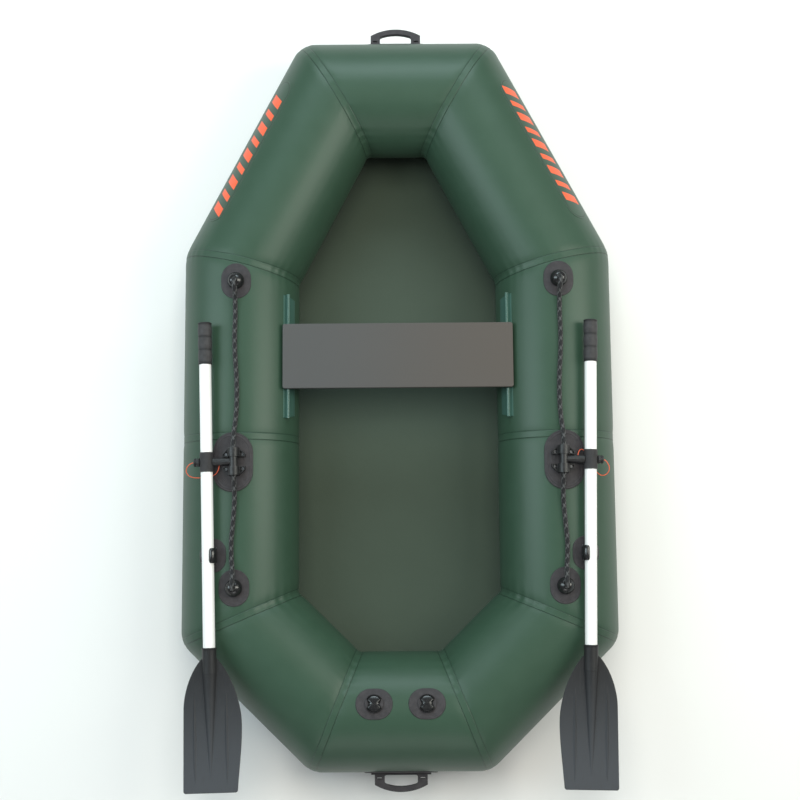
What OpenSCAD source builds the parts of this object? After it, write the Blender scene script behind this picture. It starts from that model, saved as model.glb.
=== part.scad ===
// Inflatable rowing dinghy: an octagonal ring of air tubes on a flat floor sheet, a sliding seat
// board, grab handles, lifelines, and two oars hung on swivelling rowlocks.
// +Y points to the bow, +X to starboard and +Z up. The origin is under the middle of the floor.

/* [Hull] */
// Length of the ring of tubes, without the handles
hull_l = 1912; // [1850:1:2000]
// Width of the ring of tubes
hull_w = 1120; // [1090:1:1160]
// Outer diameter of an inflated tube
tube_d = 300; // [290:1:310]
// Thickness of the coated tube fabric
wall_t = 1; // [0.7:0.1:1.5]
// Thickness of the floor sheet
floor_t = 1; // [0.8:0.1:2]
// Half length of the straight bow and stern tubes, along their centre line
end_half = 166; // [150:1:185]
// Where the side tubes turn in towards the bow
shoulder_y = 342; // [320:1:360]
// Where the side tubes turn in towards the stern
quarter_y = -568; // [-590:1:-550]
// Where the fore and aft side panels are joined
midship_y = -112; // [-130:1:-100]
// Width of the tape over each seam
tape_w = 18; // [10:1:25]
// Thickness of the seam tape
tape_t = 0.8; // [0.5:0.1:1.2]

/* [Seat] */
// Length of the seat board, across the boat
seat_l = 589; // [570:1:592]
// Width of the seat board, along the boat
seat_w = 167; // [150:1:190]
// Thickness of the seat board
seat_t = 12; // [9:1:15]
// Height of the underside of the seat board
seat_z = 252; // [252:0.5:256]
// Middle of the seat board along the boat
seat_y = 95; // [80:1:110]
// Length of a keder rail
rail_l = 321; // [300:1:340]
// Middle of the keder rails along the boat
rail_y = 98; // [90:1:105]

/* [Rowlocks] */
// Distance of the rowlocks from the centre line
rowlock_x = 410; // [408:0.5:412]
// Position of the rowlocks along the boat
rowlock_y = -178; // [-190:1:-170]
// Height of the crossbar's axis
bar_z = 325; // [324:0.5:327]
// Diameter of the crossbar
bar_d = 20; // [18:0.5:21]
// Diameter of the hole through the crossbar for the lifeline
bar_bore = 15; // [14:0.5:15.5]
// Diameter of the pin that carries the oar
pin_d = 12; // [10:0.5:12]
// Height of the oar's axis
oar_z = 318; // [317:0.5:320]
// Distance of the oar's axis from the crossbar's axis, across the boat
oar_out = 67.5; // [66:0.5:70]
// Angle by which a stowed oar leans in towards the stern
toe = 1.35; // [0:0.05:2]

/* [Oars] */
// Outer diameter of the shaft
shaft_d = 30; // [28:0.5:30]
// Length of the grip
grip_l = 107; // [90:1:120]
// From the pin to the end of the grip
grip_reach = 352.5; // [330:0.5:370]
// From the pin to the tip of the blade
blade_reach = 800; // [780:1:820]
// Thickness of the blade's plate
blade_t = 4; // [3:0.5:5]

/* [Fittings] */
// Diameter of the lifeline
rope_d = 12; // [10:0.5:12]
// Diameter of the domed rope anchors
dome_d = 43; // [40:1:46]
// Position of the fore anchors along the boat
fore_anchor_y = 283; // [275:1:290]
// Position of the aft anchors along the boat
aft_anchor_y = -490; // [-500:1:-480]
// Position of the paddle clips along the boat
clip_y = -410; // [-420:1:-400]
// Distance of each inflation valve from the centre line
valve_x = 65; // [60:1:75]
// Angle of each valve from the top of the stern tube
valve_tilt = 12.5; // [5:0.5:15]
// How far a handle stands out past its tube
handle_out = 50; // [44:1:52]

/* [Hidden] */
$fn = 64;

// Tube ring: the starboard half of the centre line, from the bow round to the stern
tube_r = tube_d / 2;
tube_z = floor_t + tube_r;
side_x = hull_w / 2 - tube_r;
end_y = hull_l / 2 - tube_r;
bow_p = [end_half, end_y];
shoulder_p = [side_x, shoulder_y];
midship_p = [side_x, midship_y];
quarter_p = [side_x, quarter_y];
stern_p = [end_half, -end_y];
reach = 1.35 * tube_r;

// Thicknesses of the pieces that are glued to the tubes, and small gaps between parts
rowlock_patch_t = 4;
patch_t = 2;
stripe_t = 0.6;
fit_gap = 0.05;
free_gap = 0.3;

// Sizes of the patches, across and along the boat
rowlock_patch = [102, 150];
anchor_patch = [77, 92];
clip_patch = [66, 84];
valve_patch = [92, 76];
handle_patch = [190, 88];
stripe_size = [80, 426];

// How far the rowlock patches are turned outboard from the top
rowlock_lean = 2;

// Middle of each bow strip: turned outboard from the top of its tube, and along it to the bow
stripe_lean = 51.5;
stripe_shift = 15;

// Rowlock: lengths along the stem are counted from the crossbar's axis
stem_drop = atan2(bar_z - oar_z, oar_out);
stem_l = norm([oar_out, bar_z - oar_z]);
bearing_gap = 24;
bearing_w = 22;
bearing_l = 57;
bearing_hump = 27;
bar_l = bearing_gap + 2 * bearing_w + 2;
sleeve_r = 17;
sleeve_l = 49;
root_d = 14;
boss_d = 21;
nut_l = 14;
bearing_h = 22;
bearing_arc = 34;
screw_x = 20.5;
screw_in = 4.3;
screw_head_d = 7;
// Height of the floor of the screws' pockets
pocket_z = bar_z - 14;

// Oar: lengths are counted from the pin, with the grip on the +Y side
shaft_r = shaft_d / 2;
shaft_wall = 1.5;
collar_y = -454;
collar_l = 62;
collar_r = 17.5;
button_y = -512;
button_lean = 19;
button_r = 2.7;
socket_end = -526;

// Paddle clip: an open ring around the stowed shaft
clip_x = rowlock_x + oar_out + (clip_y - rowlock_y) * tan(toe);
clip_lean = atan2(clip_x - side_x, oar_z - tube_z);
clip_r = norm([clip_x - side_x, oar_z - tube_z]);
clip_inner = shaft_r + free_gap;
clip_outer = 19;
clip_w = 37;
clip_mouth = 38;
clip_half_mouth = 55;

// Seat: the bead of each rail runs in a channel under the board
bead_r = 4;
channel_r = 6.5;
bead_off = tube_r + 10;
bead_z = seat_z - channel_r;
bead_x = side_x - sqrt(pow(bead_off, 2) - pow(bead_z - tube_z, 2));
bead_lean = atan2(bead_x - side_x, bead_z - tube_z);

// Valve: heights are counted along its axis from the outside of the tube
valve_ring_d = 45;
valve_neck_r = 14;
valve_bore_r = 12;
poppet_stem_r = 2;
cap_z = patch_t + 1;

// Lifeline: its middle line, as [across from the rowlock, along the boat, up]
rope_route = [
    [1, -493.5, 320], [1, -490, 328.5], [1, -484, 331.5], [1, -474, 330], [1, -463, 325],
    [2, -452, 318], [3, -440, 312.5], [5, -422, 308.6], [6, -400, 307.3], [6, -375, 307.3],
    [4, -350, 307.4], [2, -325, 307.5], [0, -300, 308], [-1.5, -276, 310.2], [-2, -258, 313.4],
    [-1.6, -240, 318.5], [-1, -222, 323.5], [-0.7, -208, 325], [0, -178, 325],
    [0.7, -148, 325], [1, -134, 323.5], [1, -116, 318.5], [0, -98, 313.4], [-2, -80, 310],
    [-4, -55, 308], [-5, -25, 307.4], [-5, 5, 307.4], [-4, 35, 307.5], [-2, 65, 307.5],
    [0, 95, 307.5], [1, 125, 307.5], [1, 155, 307.5], [0, 185, 307.6], [0, 210, 308.6],
    [0, 232, 312], [0, 245, 318], [0, 256, 325], [1, 267, 330], [1, 277, 331.5],
    [1, 283, 328.5], [1, 286.5, 320]
];
rope_sides = 10;

// Lanyards: middle lines, as [outboard of the oar's axis, ahead of the pin, up]
lanyard_d = 2.4;
lanyard_route_port = [
    [32, 0, 315], [38, -1, 314], [45, -5, 311.5], [51, -12, 308], [53, -21, 303.5],
    [49, -29, 299], [41, -34, 295.5], [31, -36, 293], [20, -36, 292], [9, -35, 291.5],
    [-2, -34, 294], [-11, -33, 297.5], [-18, -30, 301.5], [-24, -25, 305.5], [-28, -18, 310],
    [-30, -12, 314], [-31, -9.4, 317]
];
lanyard_route_stbd = [
    [32, 0, 315], [38, -3, 313.5], [44, -10, 310.5], [48, -19, 306], [47, -28, 301.5],
    [42, -35, 297.5], [34, -38, 295], [26, -36, 293.5], [18, -29, 292.5], [10, -18, 292],
    [3, -6, 292], [-3, 6, 293.6], [-8, 15, 296], [-13, 22, 299], [-19, 25.5, 302.5],
    [-25, 24, 305], [-29, 18, 310], [-31, 12, 314.5], [-31, 9.4, 317]
];
lanyard_sides = 8;

hull_green = [0.25, 0.36, 0.32];
floor_green = [0.3, 0.34, 0.29];
moulded = [0.25, 0.24, 0.23];
white = [0.93, 0.93, 0.92];
board = [0.38, 0.37, 0.35];
orange = [0.92, 0.38, 0.2];

// ---- Shared shapes -------------------------------------------------------------------------

// unit vector, and the outward mitre line where the centre line turns at q
function unit(v) = v / norm(v);
function mitre(p, q, s) = unit(unit(q - p) + unit(q - s));
function mirrored(p) = [-p[0], p[1]];

// points of a cubic curve, without its last point
function curve(a, b, c, d, n) = [
    for (i = [0:n - 1]) let (t = i / n, u = 1 - t)
        u * u * u * a + 3 * u * u * t * b + 3 * u * t * t * c + t * t * t * d
];

// a closed tube swept along points, with each ring square to the path there
module sweep(path, r, sides) {
    last = len(path) - 1;
    function along(i) = unit(path[min(i + 1, last)] - path[max(i - 1, 0)]);
    function flat(t) = abs(t[2]) > 0.95 ? unit(cross(t, [0, 1, 0])) : unit(cross(t, [0, 0, 1]));
    rings = [
        for (i = [0:last]) let (t = along(i), e = flat(t), f = cross(e, t))
            for (k = [0:sides - 1]) let (a = 360 * k / sides)
                path[i] + r * (cos(a) * e + sin(a) * f)
    ];
    walls = [
        for (i = [0:last - 1]) for (k = [0:sides - 1])
            let (n = (k + 1) % sides, a = i * sides, b = a + sides)
                [a + k, b + k, b + n, a + n]
    ];
    near_end = [for (k = [0:sides - 1]) k];
    far_end = [for (k = [sides - 1:-1:0]) last * sides + k];
    polyhedron(rings, concat(walls, [near_end, far_end]), convexity = 6);
}

// the port or starboard copy of what is drawn on the starboard side
module on_side(s) {
    if (s > 0) children();
    else mirror([1, 0, 0]) children();
}

// an oblong, with round ends
module stadium(w, l) {
    d = min(w, l);
    square([w > l ? w - d : w, l > w ? l - d : l], center = true);
    for (s = [-1, 1]) {
        translate([w > l ? s * (w - d) / 2 : 0, l > w ? s * (l - d) / 2 : 0]) circle(d = d);
    }
}

// a pipe along X from x = 0, between two radii
module pipe(inner, outer, l) {
    rotate([0, 90, 0]) difference() {
        cylinder(r = outer, h = l);
        translate([0, 0, -1]) cylinder(r = inner, h = l + 2);
    }
}

// a solid cylinder along Y, centred
module rod_y(r, l) {
    rotate([90, 0, 0]) cylinder(r = r, h = l, center = true);
}

// a pipe along the centre line from a to b, run past both ends
module tube_along(a, b, inner, outer) {
    d = b - a;
    translate([a[0], a[1], tube_z]) rotate([0, 0, atan2(d[1], d[0])])
        translate([-reach, 0, 0]) pipe(inner, outer, norm(d) + 2 * reach);
}

// one fabric panel of the ring, cut on the mitre lines at both its ends
module panel(a, at_a, b, at_b) {
    color(hull_green) intersection() {
        tube_along(a, b, tube_r - wall_t, tube_r);
        linear_extrude(height = 2 * tube_z)
            polygon([a + reach * at_a, a - reach * at_a, b - reach * at_b, b + reach * at_b]);
    }
}

// the half of a seam tape that lies on one panel, from a hair off the seam at q towards p; it
// stops just above the floor sheet
module half_tape(q, m, p) {
    d = unit(p - q) * tape_w / 2;
    near = q + unit(p - q) * fit_gap;
    intersection() {
        tube_along(q, q + 4 * d, tube_r, tube_r + tape_t);
        translate([0, 0, floor_t + 4]) linear_extrude(height = 2 * tube_z)
            polygon([near + reach * m, near - reach * m, q - reach * m + d, q + reach * m + d]);
    }
}

module seam_tape(p, q, s, m) {
    half_tape(q, m, p);
    half_tape(q, m, s);
}

// a patch glued on a tube that runs along Y, with its middle on top at the origin of Y
module saddle_patch(size, t, r = tube_r) {
    intersection() {
        translate([0, -size[1] / 2 - 1, 0]) rotate([0, 0, 90]) pipe(r, r + t, size[1] + 2);
        linear_extrude(height = r + t + 1) stadium(size[0], size[1]);
    }
}

// puts a piece on the starboard side tube, turned outboard by lean from the top
module on_side_tube(y, lean = 0) {
    translate([side_x, y, tube_z]) rotate([0, lean, 0]) children();
}

bow_m = mitre(mirrored(bow_p), bow_p, shoulder_p);
shoulder_m = mitre(bow_p, shoulder_p, quarter_p);
quarter_m = mitre(shoulder_p, quarter_p, stern_p);
stern_m = mitre(quarter_p, stern_p, mirrored(stern_p));

// ---- Tube ring -----------------------------------------------------------------------------

module bow_tube() {
    panel(mirrored(bow_p), mirrored(bow_m), bow_p, bow_m);
}

module bow_quarter_tube(s) {
    on_side(s) panel(bow_p, bow_m, shoulder_p, shoulder_m);
}

module fore_side_tube(s) {
    on_side(s) panel(shoulder_p, shoulder_m, midship_p, [1, 0]);
}

module aft_side_tube(s) {
    on_side(s) panel(midship_p, [1, 0], quarter_p, quarter_m);
}

module stern_quarter_tube(s) {
    on_side(s) panel(quarter_p, quarter_m, stern_p, stern_m);
}

// the stern tube has a hole for each valve's neck
module stern_tube() {
    difference() {
        panel(stern_p, stern_m, mirrored(stern_p), mirrored(stern_m));
        for (s = [-1, 1]) on_side(s) at_valve() translate([0, 0, -20])
            cylinder(r = valve_neck_r + fit_gap, h = 30);
    }
}

// fabric walls across the bow and stern that part the two air chambers
module bulkheads() {
    color(hull_green) for (s = [-1, 1]) translate([-wall_t / 2, s * end_y, tube_z])
        rotate([0, 90, 0]) cylinder(r = tube_r - wall_t, h = wall_t);
}

module floor_sheet() {
    half = [bow_p + bow_m * 40, shoulder_p + shoulder_m * 40, quarter_p + quarter_m * 40,
        stern_p + stern_m * 40];
    color(floor_green) linear_extrude(height = floor_t)
        polygon(concat(half, [for (i = [3:-1:0]) mirrored(half[i])]));
}

module seam_tapes() {
    color(hull_green) for (s = [-1, 1]) on_side(s) {
        seam_tape(mirrored(bow_p), bow_p, shoulder_p, bow_m);
        seam_tape(bow_p, shoulder_p, quarter_p, shoulder_m);
        difference() {
            seam_tape(shoulder_p, midship_p, quarter_p, [1, 0]);
            on_side_tube(rowlock_y, rowlock_lean) linear_extrude(height = tube_r + 2)
                stadium(rowlock_patch[0] + 2, rowlock_patch[1] + 2);
        }
        seam_tape(shoulder_p, quarter_p, stern_p, quarter_m);
        seam_tape(quarter_p, stern_p, mirrored(stern_p), stern_m);
    }
}

// round-ended strips of the hull's fabric on the outer upper face of the bow quarters
module bow_stripes() {
    d = shoulder_p - bow_p;
    mid = (bow_p + shoulder_p) / 2;
    color(hull_green) for (s = [-1, 1]) on_side(s)
        translate([mid[0], mid[1], tube_z]) rotate([0, 0, atan2(d[1], d[0]) + 90])
            rotate([0, stripe_lean, 0]) translate([0, stripe_shift, 0])
                saddle_patch(stripe_size, stripe_t);
}

// ---- Handles -------------------------------------------------------------------------------

// a moulded rubber grab handle at the bow, on the tube's equator
module handle() {
    edge = end_y + tube_r;
    tip = edge + handle_out;
    arch_r = 135;
    half_w = 67;
    inner_w = 84;
    bar_w = 13;
    corner_r = 5;
    color(moulded) difference() {
        translate([0, 0, tube_z - 8]) linear_extrude(height = 16) difference() {
            union() {
                intersection() {
                    translate([0, tip - arch_r]) circle(r = arch_r);
                    translate([-half_w, edge - 20]) square([2 * half_w, 100]);
                }
                translate([-half_w - 9, edge - 20]) square([2 * half_w + 18, 27]);
            }
            offset(r = corner_r) offset(delta = -corner_r) intersection() {
                translate([0, tip - arch_r]) circle(r = arch_r - bar_w);
                translate([-inner_w / 2, edge + 8]) square([inner_w, 60]);
            }
            for (x = [-55, 55]) translate([x, edge + 16]) square([12, 4], center = true);
        }
        translate([-100, end_y, tube_z]) rotate([0, 90, 0])
            cylinder(r = tube_r + patch_t, h = 200);
    }
}

module bow_handle() {
    handle();
}

module stern_handle() {
    mirror([0, 1, 0]) handle();
}

module handle_patches() {
    color(moulded) for (s = [-1, 1]) mirror([0, s < 0 ? 1 : 0, 0])
        translate([0, end_y, tube_z]) rotate([0, 0, 90]) rotate([0, 90, 0])
            saddle_patch([handle_patch[1], handle_patch[0]], patch_t);
}

// ---- Lifelines -----------------------------------------------------------------------------

module rope_anchor_patches() {
    color(moulded) for (s = [-1, 1]) on_side(s) for (y = [fore_anchor_y, aft_anchor_y])
        on_side_tube(y) saddle_patch(anchor_patch, patch_t);
}

// a dome with a slot on the rowlock's side, where the rope is drawn in and knotted
module rope_anchor(y) {
    r = dome_d / 2;
    toward = y > rowlock_y ? -1 : 1;
    difference() {
        translate([rowlock_x, y, 0]) union() {
            translate([0, 0, 304]) cylinder(r = r, h = 5);
            translate([0, 0, 309]) intersection() {
                translate([0, 0, -2.5]) sphere(r = r + 0.2);
                cylinder(r = r, h = 30);
            }
        }
        translate([rowlock_x, y, 0]) translate([-rope_d / 2 + 0.5, toward < 0 ? -40 : -11, 311])
            cube([rope_d + 1, 51, 40]);
        on_side_tube(y) rod_y(tube_r + patch_t, 100);
    }
}

module rope_anchors() {
    color(moulded) for (s = [-1, 1]) on_side(s) {
        rope_anchor(fore_anchor_y);
        rope_anchor(aft_anchor_y);
    }
}

module lifeline(s) {
    color(moulded) on_side(s)
        sweep([for (p = rope_route) [rowlock_x + p[0], p[1], p[2]]], rope_d / 2, rope_sides);
}

// ---- Rowlocks ------------------------------------------------------------------------------

// the frame of one rowlock: Y along the crossbar, X across it
module at_rowlock() {
    translate([rowlock_x, rowlock_y, 0]) rotate([0, 0, -toe]) children();
}

// the frame of one stem: X along the stem from the crossbar's axis
module at_stem() {
    at_rowlock() translate([0, 0, bar_z]) rotate([0, stem_drop, 0]) children();
}

// the frame of one oar: Y along the oar, with the pin at the origin
module at_oar() {
    at_rowlock() translate([oar_out, 0, oar_z]) children();
}

module rowlock_patches() {
    ridge = [rowlock_patch[0] - 14, rowlock_patch[1] - 14];
    color(moulded) for (s = [-1, 1]) on_side(s) on_side_tube(rowlock_y, rowlock_lean) {
        saddle_patch(rowlock_patch, rowlock_patch_t);
        difference() {
            saddle_patch(ridge, 1, tube_r + rowlock_patch_t);
            linear_extrude(height = 2 * tube_r) stadium(ridge[0] - 5, ridge[1] - 5);
        }
    }
}

// the half-round plan of a bearing block, flat on the side that faces the stem
module bearing_plan() {
    intersection() {
        square([bearing_l, bearing_w], center = true);
        translate([0, bearing_w / 2 - bearing_arc]) circle(r = bearing_arc);
    }
}

// one bearing block: a hump round the crossbar, with a screwed pocket on each side
module bearing_block() {
    low = bar_z - 28;
    wall = 2.6;
    pocket_x = 16;
    difference() {
        union() {
            translate([0, 0, low]) linear_extrude(height = bearing_h) bearing_plan();
            translate([-bearing_hump / 2, -bearing_w / 2, low])
                cube([bearing_hump, bearing_w, 28]);
            translate([0, 0, bar_z]) rod_y(bearing_hump / 2, bearing_w);
        }
        translate([0, 0, bar_z]) rod_y(bar_d / 2 + fit_gap, bearing_w + 2);
        for (s = [-1, 1]) {
            translate([0, 0, pocket_z]) linear_extrude(height = 20) intersection() {
                offset(delta = -wall) bearing_plan();
                translate([s * (pocket_x + 20), 0]) square([40, 40], center = true);
            }
            translate([s * screw_x, -screw_in, low - 20]) cylinder(d = 4.2, h = 50);
        }
    }
}

module rowlock_bearings(s) {
    off = (bearing_gap + bearing_w) / 2;
    color(moulded) on_side(s) difference() {
        at_rowlock() for (m = [0, 1]) mirror([0, m, 0]) translate([0, off, 0]) bearing_block();
        on_side_tube(rowlock_y) rod_y(tube_r + rowlock_patch_t, 200);
    }
}

// pan-head screws in the lugs' recesses, ending at the patch
module rowlock_screws() {
    off = (bearing_gap + bearing_w) / 2 - screw_in;
    color("silver") for (s = [-1, 1]) on_side(s) at_rowlock()
        for (x = [-screw_x, screw_x]) for (y = [-1, 1]) translate([x, y * off, pocket_z]) {
            cylinder(d = screw_head_d, h = 2.2);
            translate([0, 0, -5]) cylinder(d = 4, h = 5);
        }
}

// the tee: a hollow crossbar, a stem with a boss, and the pin that goes through the oar
module swivel(s) {
    color(moulded) on_side(s) at_stem() difference() {
        union() {
            rod_y(bar_d / 2, bar_l);
            rotate([0, 90, 0])
                cylinder(d1 = root_d, d2 = boss_d, h = stem_l - sleeve_r - free_gap);
            rotate([0, 90, 0]) cylinder(d = pin_d, h = stem_l + sleeve_r + nut_l - 3);
        }
        rod_y(bar_bore / 2, bar_l + 2);
    }
}

// the round nut on the end of the pin, with a groove for the lanyard
module swivel_nut(s) {
    color(moulded) on_side(s) at_stem() translate([stem_l + sleeve_r + free_gap, 0, 0])
        rotate([0, 90, 0]) difference() {
            cylinder(d = boss_d, h = nut_l);
            translate([0, 0, -1]) cylinder(r = pin_d / 2 + fit_gap, h = nut_l - 2);
            translate([0, 0, 7]) difference() {
                cylinder(d = boss_d + 2, h = 3);
                translate([0, 0, -1]) cylinder(d = boss_d - 4, h = 5);
            }
        }
}

module lanyard(s, route) {
    color(orange) on_side(s) at_rowlock()
        sweep([for (p = route) [oar_out + p[0], p[1], p[2]]], lanyard_d / 2, lanyard_sides);
}

// ---- Paddle clips --------------------------------------------------------------------------

module clip_patches() {
    color(moulded) for (s = [-1, 1]) on_side(s) on_side_tube(clip_y, clip_lean)
        saddle_patch(clip_patch, patch_t);
}

// the frame of one clip: Y along the stowed shaft, with the origin on its axis
module at_clip() {
    translate([clip_x, clip_y, oar_z]) rotate([0, 0, -toe]) children();
}

// an elastic C on a short foot, with its mouth turned up and outboard
module paddle_clip(s) {
    spread = 60 * tan(clip_half_mouth);
    color(moulded) on_side(s) difference() {
        union() {
            at_clip() rod_y(clip_outer, clip_w);
            on_side_tube(clip_y, clip_lean) translate([-10, -clip_w / 2 + 1, tube_r])
                cube([20, clip_w - 2, clip_r - tube_r - 16]);
        }
        at_clip() rod_y(clip_inner, clip_w + 10);
        at_clip() rotate([0, clip_mouth, 0]) rotate([90, 0, 0])
            linear_extrude(height = clip_w + 2, center = true)
                polygon([[0, -3], [spread, 60], [-spread, 60]]);
        on_side_tube(clip_y) rod_y(tube_r + patch_t, 100);
    }
}

// ---- Seat ----------------------------------------------------------------------------------

// a glued strip with a round bead along its inboard edge
module seat_rail(s) {
    color(hull_green) on_side(s) translate([side_x, rail_y, tube_z]) {
        rotate([0, bead_lean, 0]) {
            translate([0, 0, bead_off]) rod_y(bead_r, rail_l);
            translate([-1.25, -rail_l / 2, tube_r + 1]) cube([2.5, rail_l, bead_off - tube_r - 2]);
            intersection() {
                translate([0, -rail_l / 2 - 10, 0]) rotate([0, 0, 90])
                    pipe(tube_r, tube_r + patch_t, rail_l + 20);
                linear_extrude(height = tube_r + 10) polygon([
                    [-44, rail_l / 2 - 10], [8, rail_l / 2 - 1],
                    [8, -rail_l / 2 + 1], [-44, -rail_l / 2 + 10]
                ]);
            }
        }
    }
}

module seat_board() {
    color(board) translate([0, seat_y, seat_z]) linear_extrude(height = seat_t) {
        square([seat_l, seat_w - 12], center = true);
        square([seat_l - 12, seat_w], center = true);
        for (x = [-1, 1]) for (y = [-1, 1])
            translate([x * (seat_l / 2 - 6), y * (seat_w / 2 - 6)]) circle(r = 6);
    }
}

// extruded channels under the ends of the board, each open towards its tube
module seat_channels() {
    flange = [28, 2];
    color("dimgray") for (s = [-1, 1]) on_side(s) translate([0, seat_y, 0]) difference() {
        union() {
            translate([bead_x, 0, bead_z]) rod_y(channel_r, seat_w);
            translate([bead_x - flange[0] + 4, -seat_w / 2, seat_z - flange[1]])
                cube([flange[0], seat_w, flange[1]]);
        }
        translate([bead_x, 0, bead_z]) rod_y(bead_r + free_gap, seat_w + 2);
        translate([bead_x, 0, bead_z]) rotate([0, bead_lean, 0])
            translate([-2.4, -seat_w / 2 - 1, -20]) cube([4.8, seat_w + 2, 20]);
        translate([0, -seat_w / 2 - 1, seat_z]) cube([hull_w, seat_w + 2, 20]);
        for (y = [-60, 0, 60]) translate([bead_x - 15, y, 0]) cylinder(d = 4.1, h = 400);
    }
}

module seat_screws() {
    color("silver") for (s = [-1, 1]) on_side(s) for (y = [-60, 0, 60])
        translate([bead_x - 15, seat_y + y, seat_z]) {
            translate([0, 0, -4.4]) cylinder(d = 8, h = 2.4);
            translate([0, 0, -3]) cylinder(d = 4, h = 3);
        }
}

// ---- Oars ----------------------------------------------------------------------------------

module pin_bore() {
    rotate([0, stem_drop, 0]) rotate([0, 90, 0])
        cylinder(r = pin_d / 2 + fit_gap, h = 60, center = true);
}

module button_bore() {
    translate([0, button_y, 0]) rotate([0, button_lean, 0])
        cylinder(r = button_r + fit_gap, h = 30);
}

module oar_shaft(s) {
    front = grip_reach - 5;
    color(white) on_side(s) at_oar() difference() {
        translate([0, socket_end, 0]) rotate([0, 0, 90])
            pipe(shaft_r - shaft_wall, shaft_r, front - socket_end);
        pin_bore();
        button_bore();
    }
}

// a closed sleeve with a swell at each end and in the middle
module oar_grip(s) {
    r = shaft_r + 1.2;
    swell = 1.1;
    color(moulded) on_side(s) at_oar() translate([0, grip_reach - grip_l, 0]) rotate([-90, 0, 0])
        difference() {
            rotate_extrude() polygon(concat(
                [[0, 0]],
                [for (i = [0:24]) [r + swell * pow(cos(3 * 180 * i / 24), 2), grip_l * i / 25]],
                [[r, grip_l - 1.5], [r - 3, grip_l], [0, grip_l]]
            ));
            translate([0, 0, -1]) cylinder(r = shaft_r + fit_gap, h = grip_l - 3.9);
        }
}

// the sleeve where the shaft turns on the pin, with a rim at each end
module oar_sleeve(s) {
    rim = 3;
    color(moulded) on_side(s) at_oar() difference() {
        union() {
            rod_y(sleeve_r - 0.5, sleeve_l);
            for (e = [-1, 1]) translate([0, e * (sleeve_l - rim) / 2, 0]) rod_y(sleeve_r, rim);
        }
        rod_y(shaft_r + fit_gap, sleeve_l + 2);
        pin_bore();
    }
}

// the blade's outline: straight along its outboard edge and full along the inboard one
blade_outline = concat(
    [[0, -478]],
    curve([16, -478], [37, -496], [64.5, -548], [64.5, -606], 12),
    [[64.5, -606], [67, -794], [65.5, -798]],
    [[62, -blade_reach], [-61, -blade_reach]],
    [[-64, -798], [-65, -794]],
    curve([-65, -794], [-70, -735], [-77, -690], [-77, -640], 8),
    curve([-77, -640], [-77, -570], [-40, -500], [-16, -478], 12)
);

// a moulded blade: a collar, a tapering spine, a thin plate and two stiffening ribs
module oar_blade(s) {
    color(moulded) on_side(s) at_oar() difference() {
        union() {
            translate([0, collar_y, 0]) rotate([90, 0, 0]) cylinder(r = collar_r, h = collar_l);
            translate([0, collar_y, 0]) rotate([90, 0, 0]) cylinder(r = collar_r + 1, h = 4);
            translate([0, collar_y - collar_l, 0]) rotate([90, 0, 0])
                cylinder(r1 = collar_r - 0.5, r2 = 2.1, h = 262);
            linear_extrude(height = blade_t, center = true) polygon(blade_outline);
            for (x = [-40, 38]) linear_extrude(height = blade_t + 6, center = true)
                polygon([[x, -556], [x + 3.2, -670], [x, -785], [x - 3.2, -670]]);
        }
        translate([0, socket_end - 1, 0]) rotate([0, 0, 90]) rotate([0, 90, 0])
            cylinder(r = shaft_r + fit_gap, h = 100);
        button_bore();
    }
}

// the sprung button that locks the blade on: a domed peg with a head inside the shaft
module snap_button(s) {
    color("silver") on_side(s) at_oar() translate([0, button_y, 0]) rotate([0, button_lean, 0]) {
        translate([0, 0, 8.2]) cylinder(r = button_r, h = 7.3);
        translate([0, 0, 15.5]) cylinder(r1 = button_r, r2 = 1.6, h = 1);
        translate([0, 0, 7.2]) cylinder(r = 4, h = 1);
    }
}

// the bent leaf spring in the shaft, behind the button
module button_spring(s) {
    color("silver") on_side(s) at_oar() translate([0, button_y, 0]) rotate([0, button_lean, 0])
        rotate([90, 0, 90]) linear_extrude(height = 6, center = true) polygon([
            [-5, 7.1], [5, 7.1], [42, -0.4], [44, -2.6], [42, -4.8], [0, -12.4], [-6, -12.4],
            [-6, -11.8], [0, -11.8], [41, -4.2], [43, -2.6], [41, -1], [5, 6.5], [-5, 6.5]
        ]);
}

// ---- Valves --------------------------------------------------------------------------------

// the frame of one valve: Z along its axis, out of the tube
module at_valve() {
    translate([valve_x, -end_y, tube_z]) rotate([-valve_tilt, 0, 0]) translate([0, 0, tube_r])
        children();
}

module valve_patches() {
    color(moulded) for (s = [-1, 1]) on_side(s) difference() {
        translate([valve_x, -end_y, tube_z]) rotate([-valve_tilt, 0, 0]) rotate([0, 0, 90])
            saddle_patch([valve_patch[1], valve_patch[0]], patch_t);
        at_valve() translate([0, 0, -10]) cylinder(r = valve_neck_r + fit_gap, h = 30);
    }
}

// a ring on the patch, a neck inside the tube, a seat for the poppet and a guide for its stem
module valve_bodies() {
    color(moulded) for (s = [-1, 1]) on_side(s) at_valve() difference() {
        union() {
            translate([0, 0, patch_t]) cylinder(d = valve_ring_d, h = 3);
            translate([0, 0, -24]) cylinder(r = valve_neck_r, h = 24 + patch_t + 1);
        }
        translate([0, 0, -17]) cylinder(r = valve_bore_r, h = 40);
        translate([0, 0, -25]) cylinder(r = 8, h = 30);
        translate([0, 0, -25]) cylinder(r = 10.5, h = 4);
    }
    color(moulded) for (s = [-1, 1]) on_side(s) at_valve() difference() {
        translate([0, 0, -17]) cylinder(r = valve_bore_r, h = 2);
        translate([0, 0, -18]) cylinder(r = poppet_stem_r + 0.1, h = 4);
        for (a = [0, 90, 180, 270]) rotate([0, 0, a]) translate([7, 0, -18]) cylinder(r = 3, h = 4);
    }
}

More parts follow.
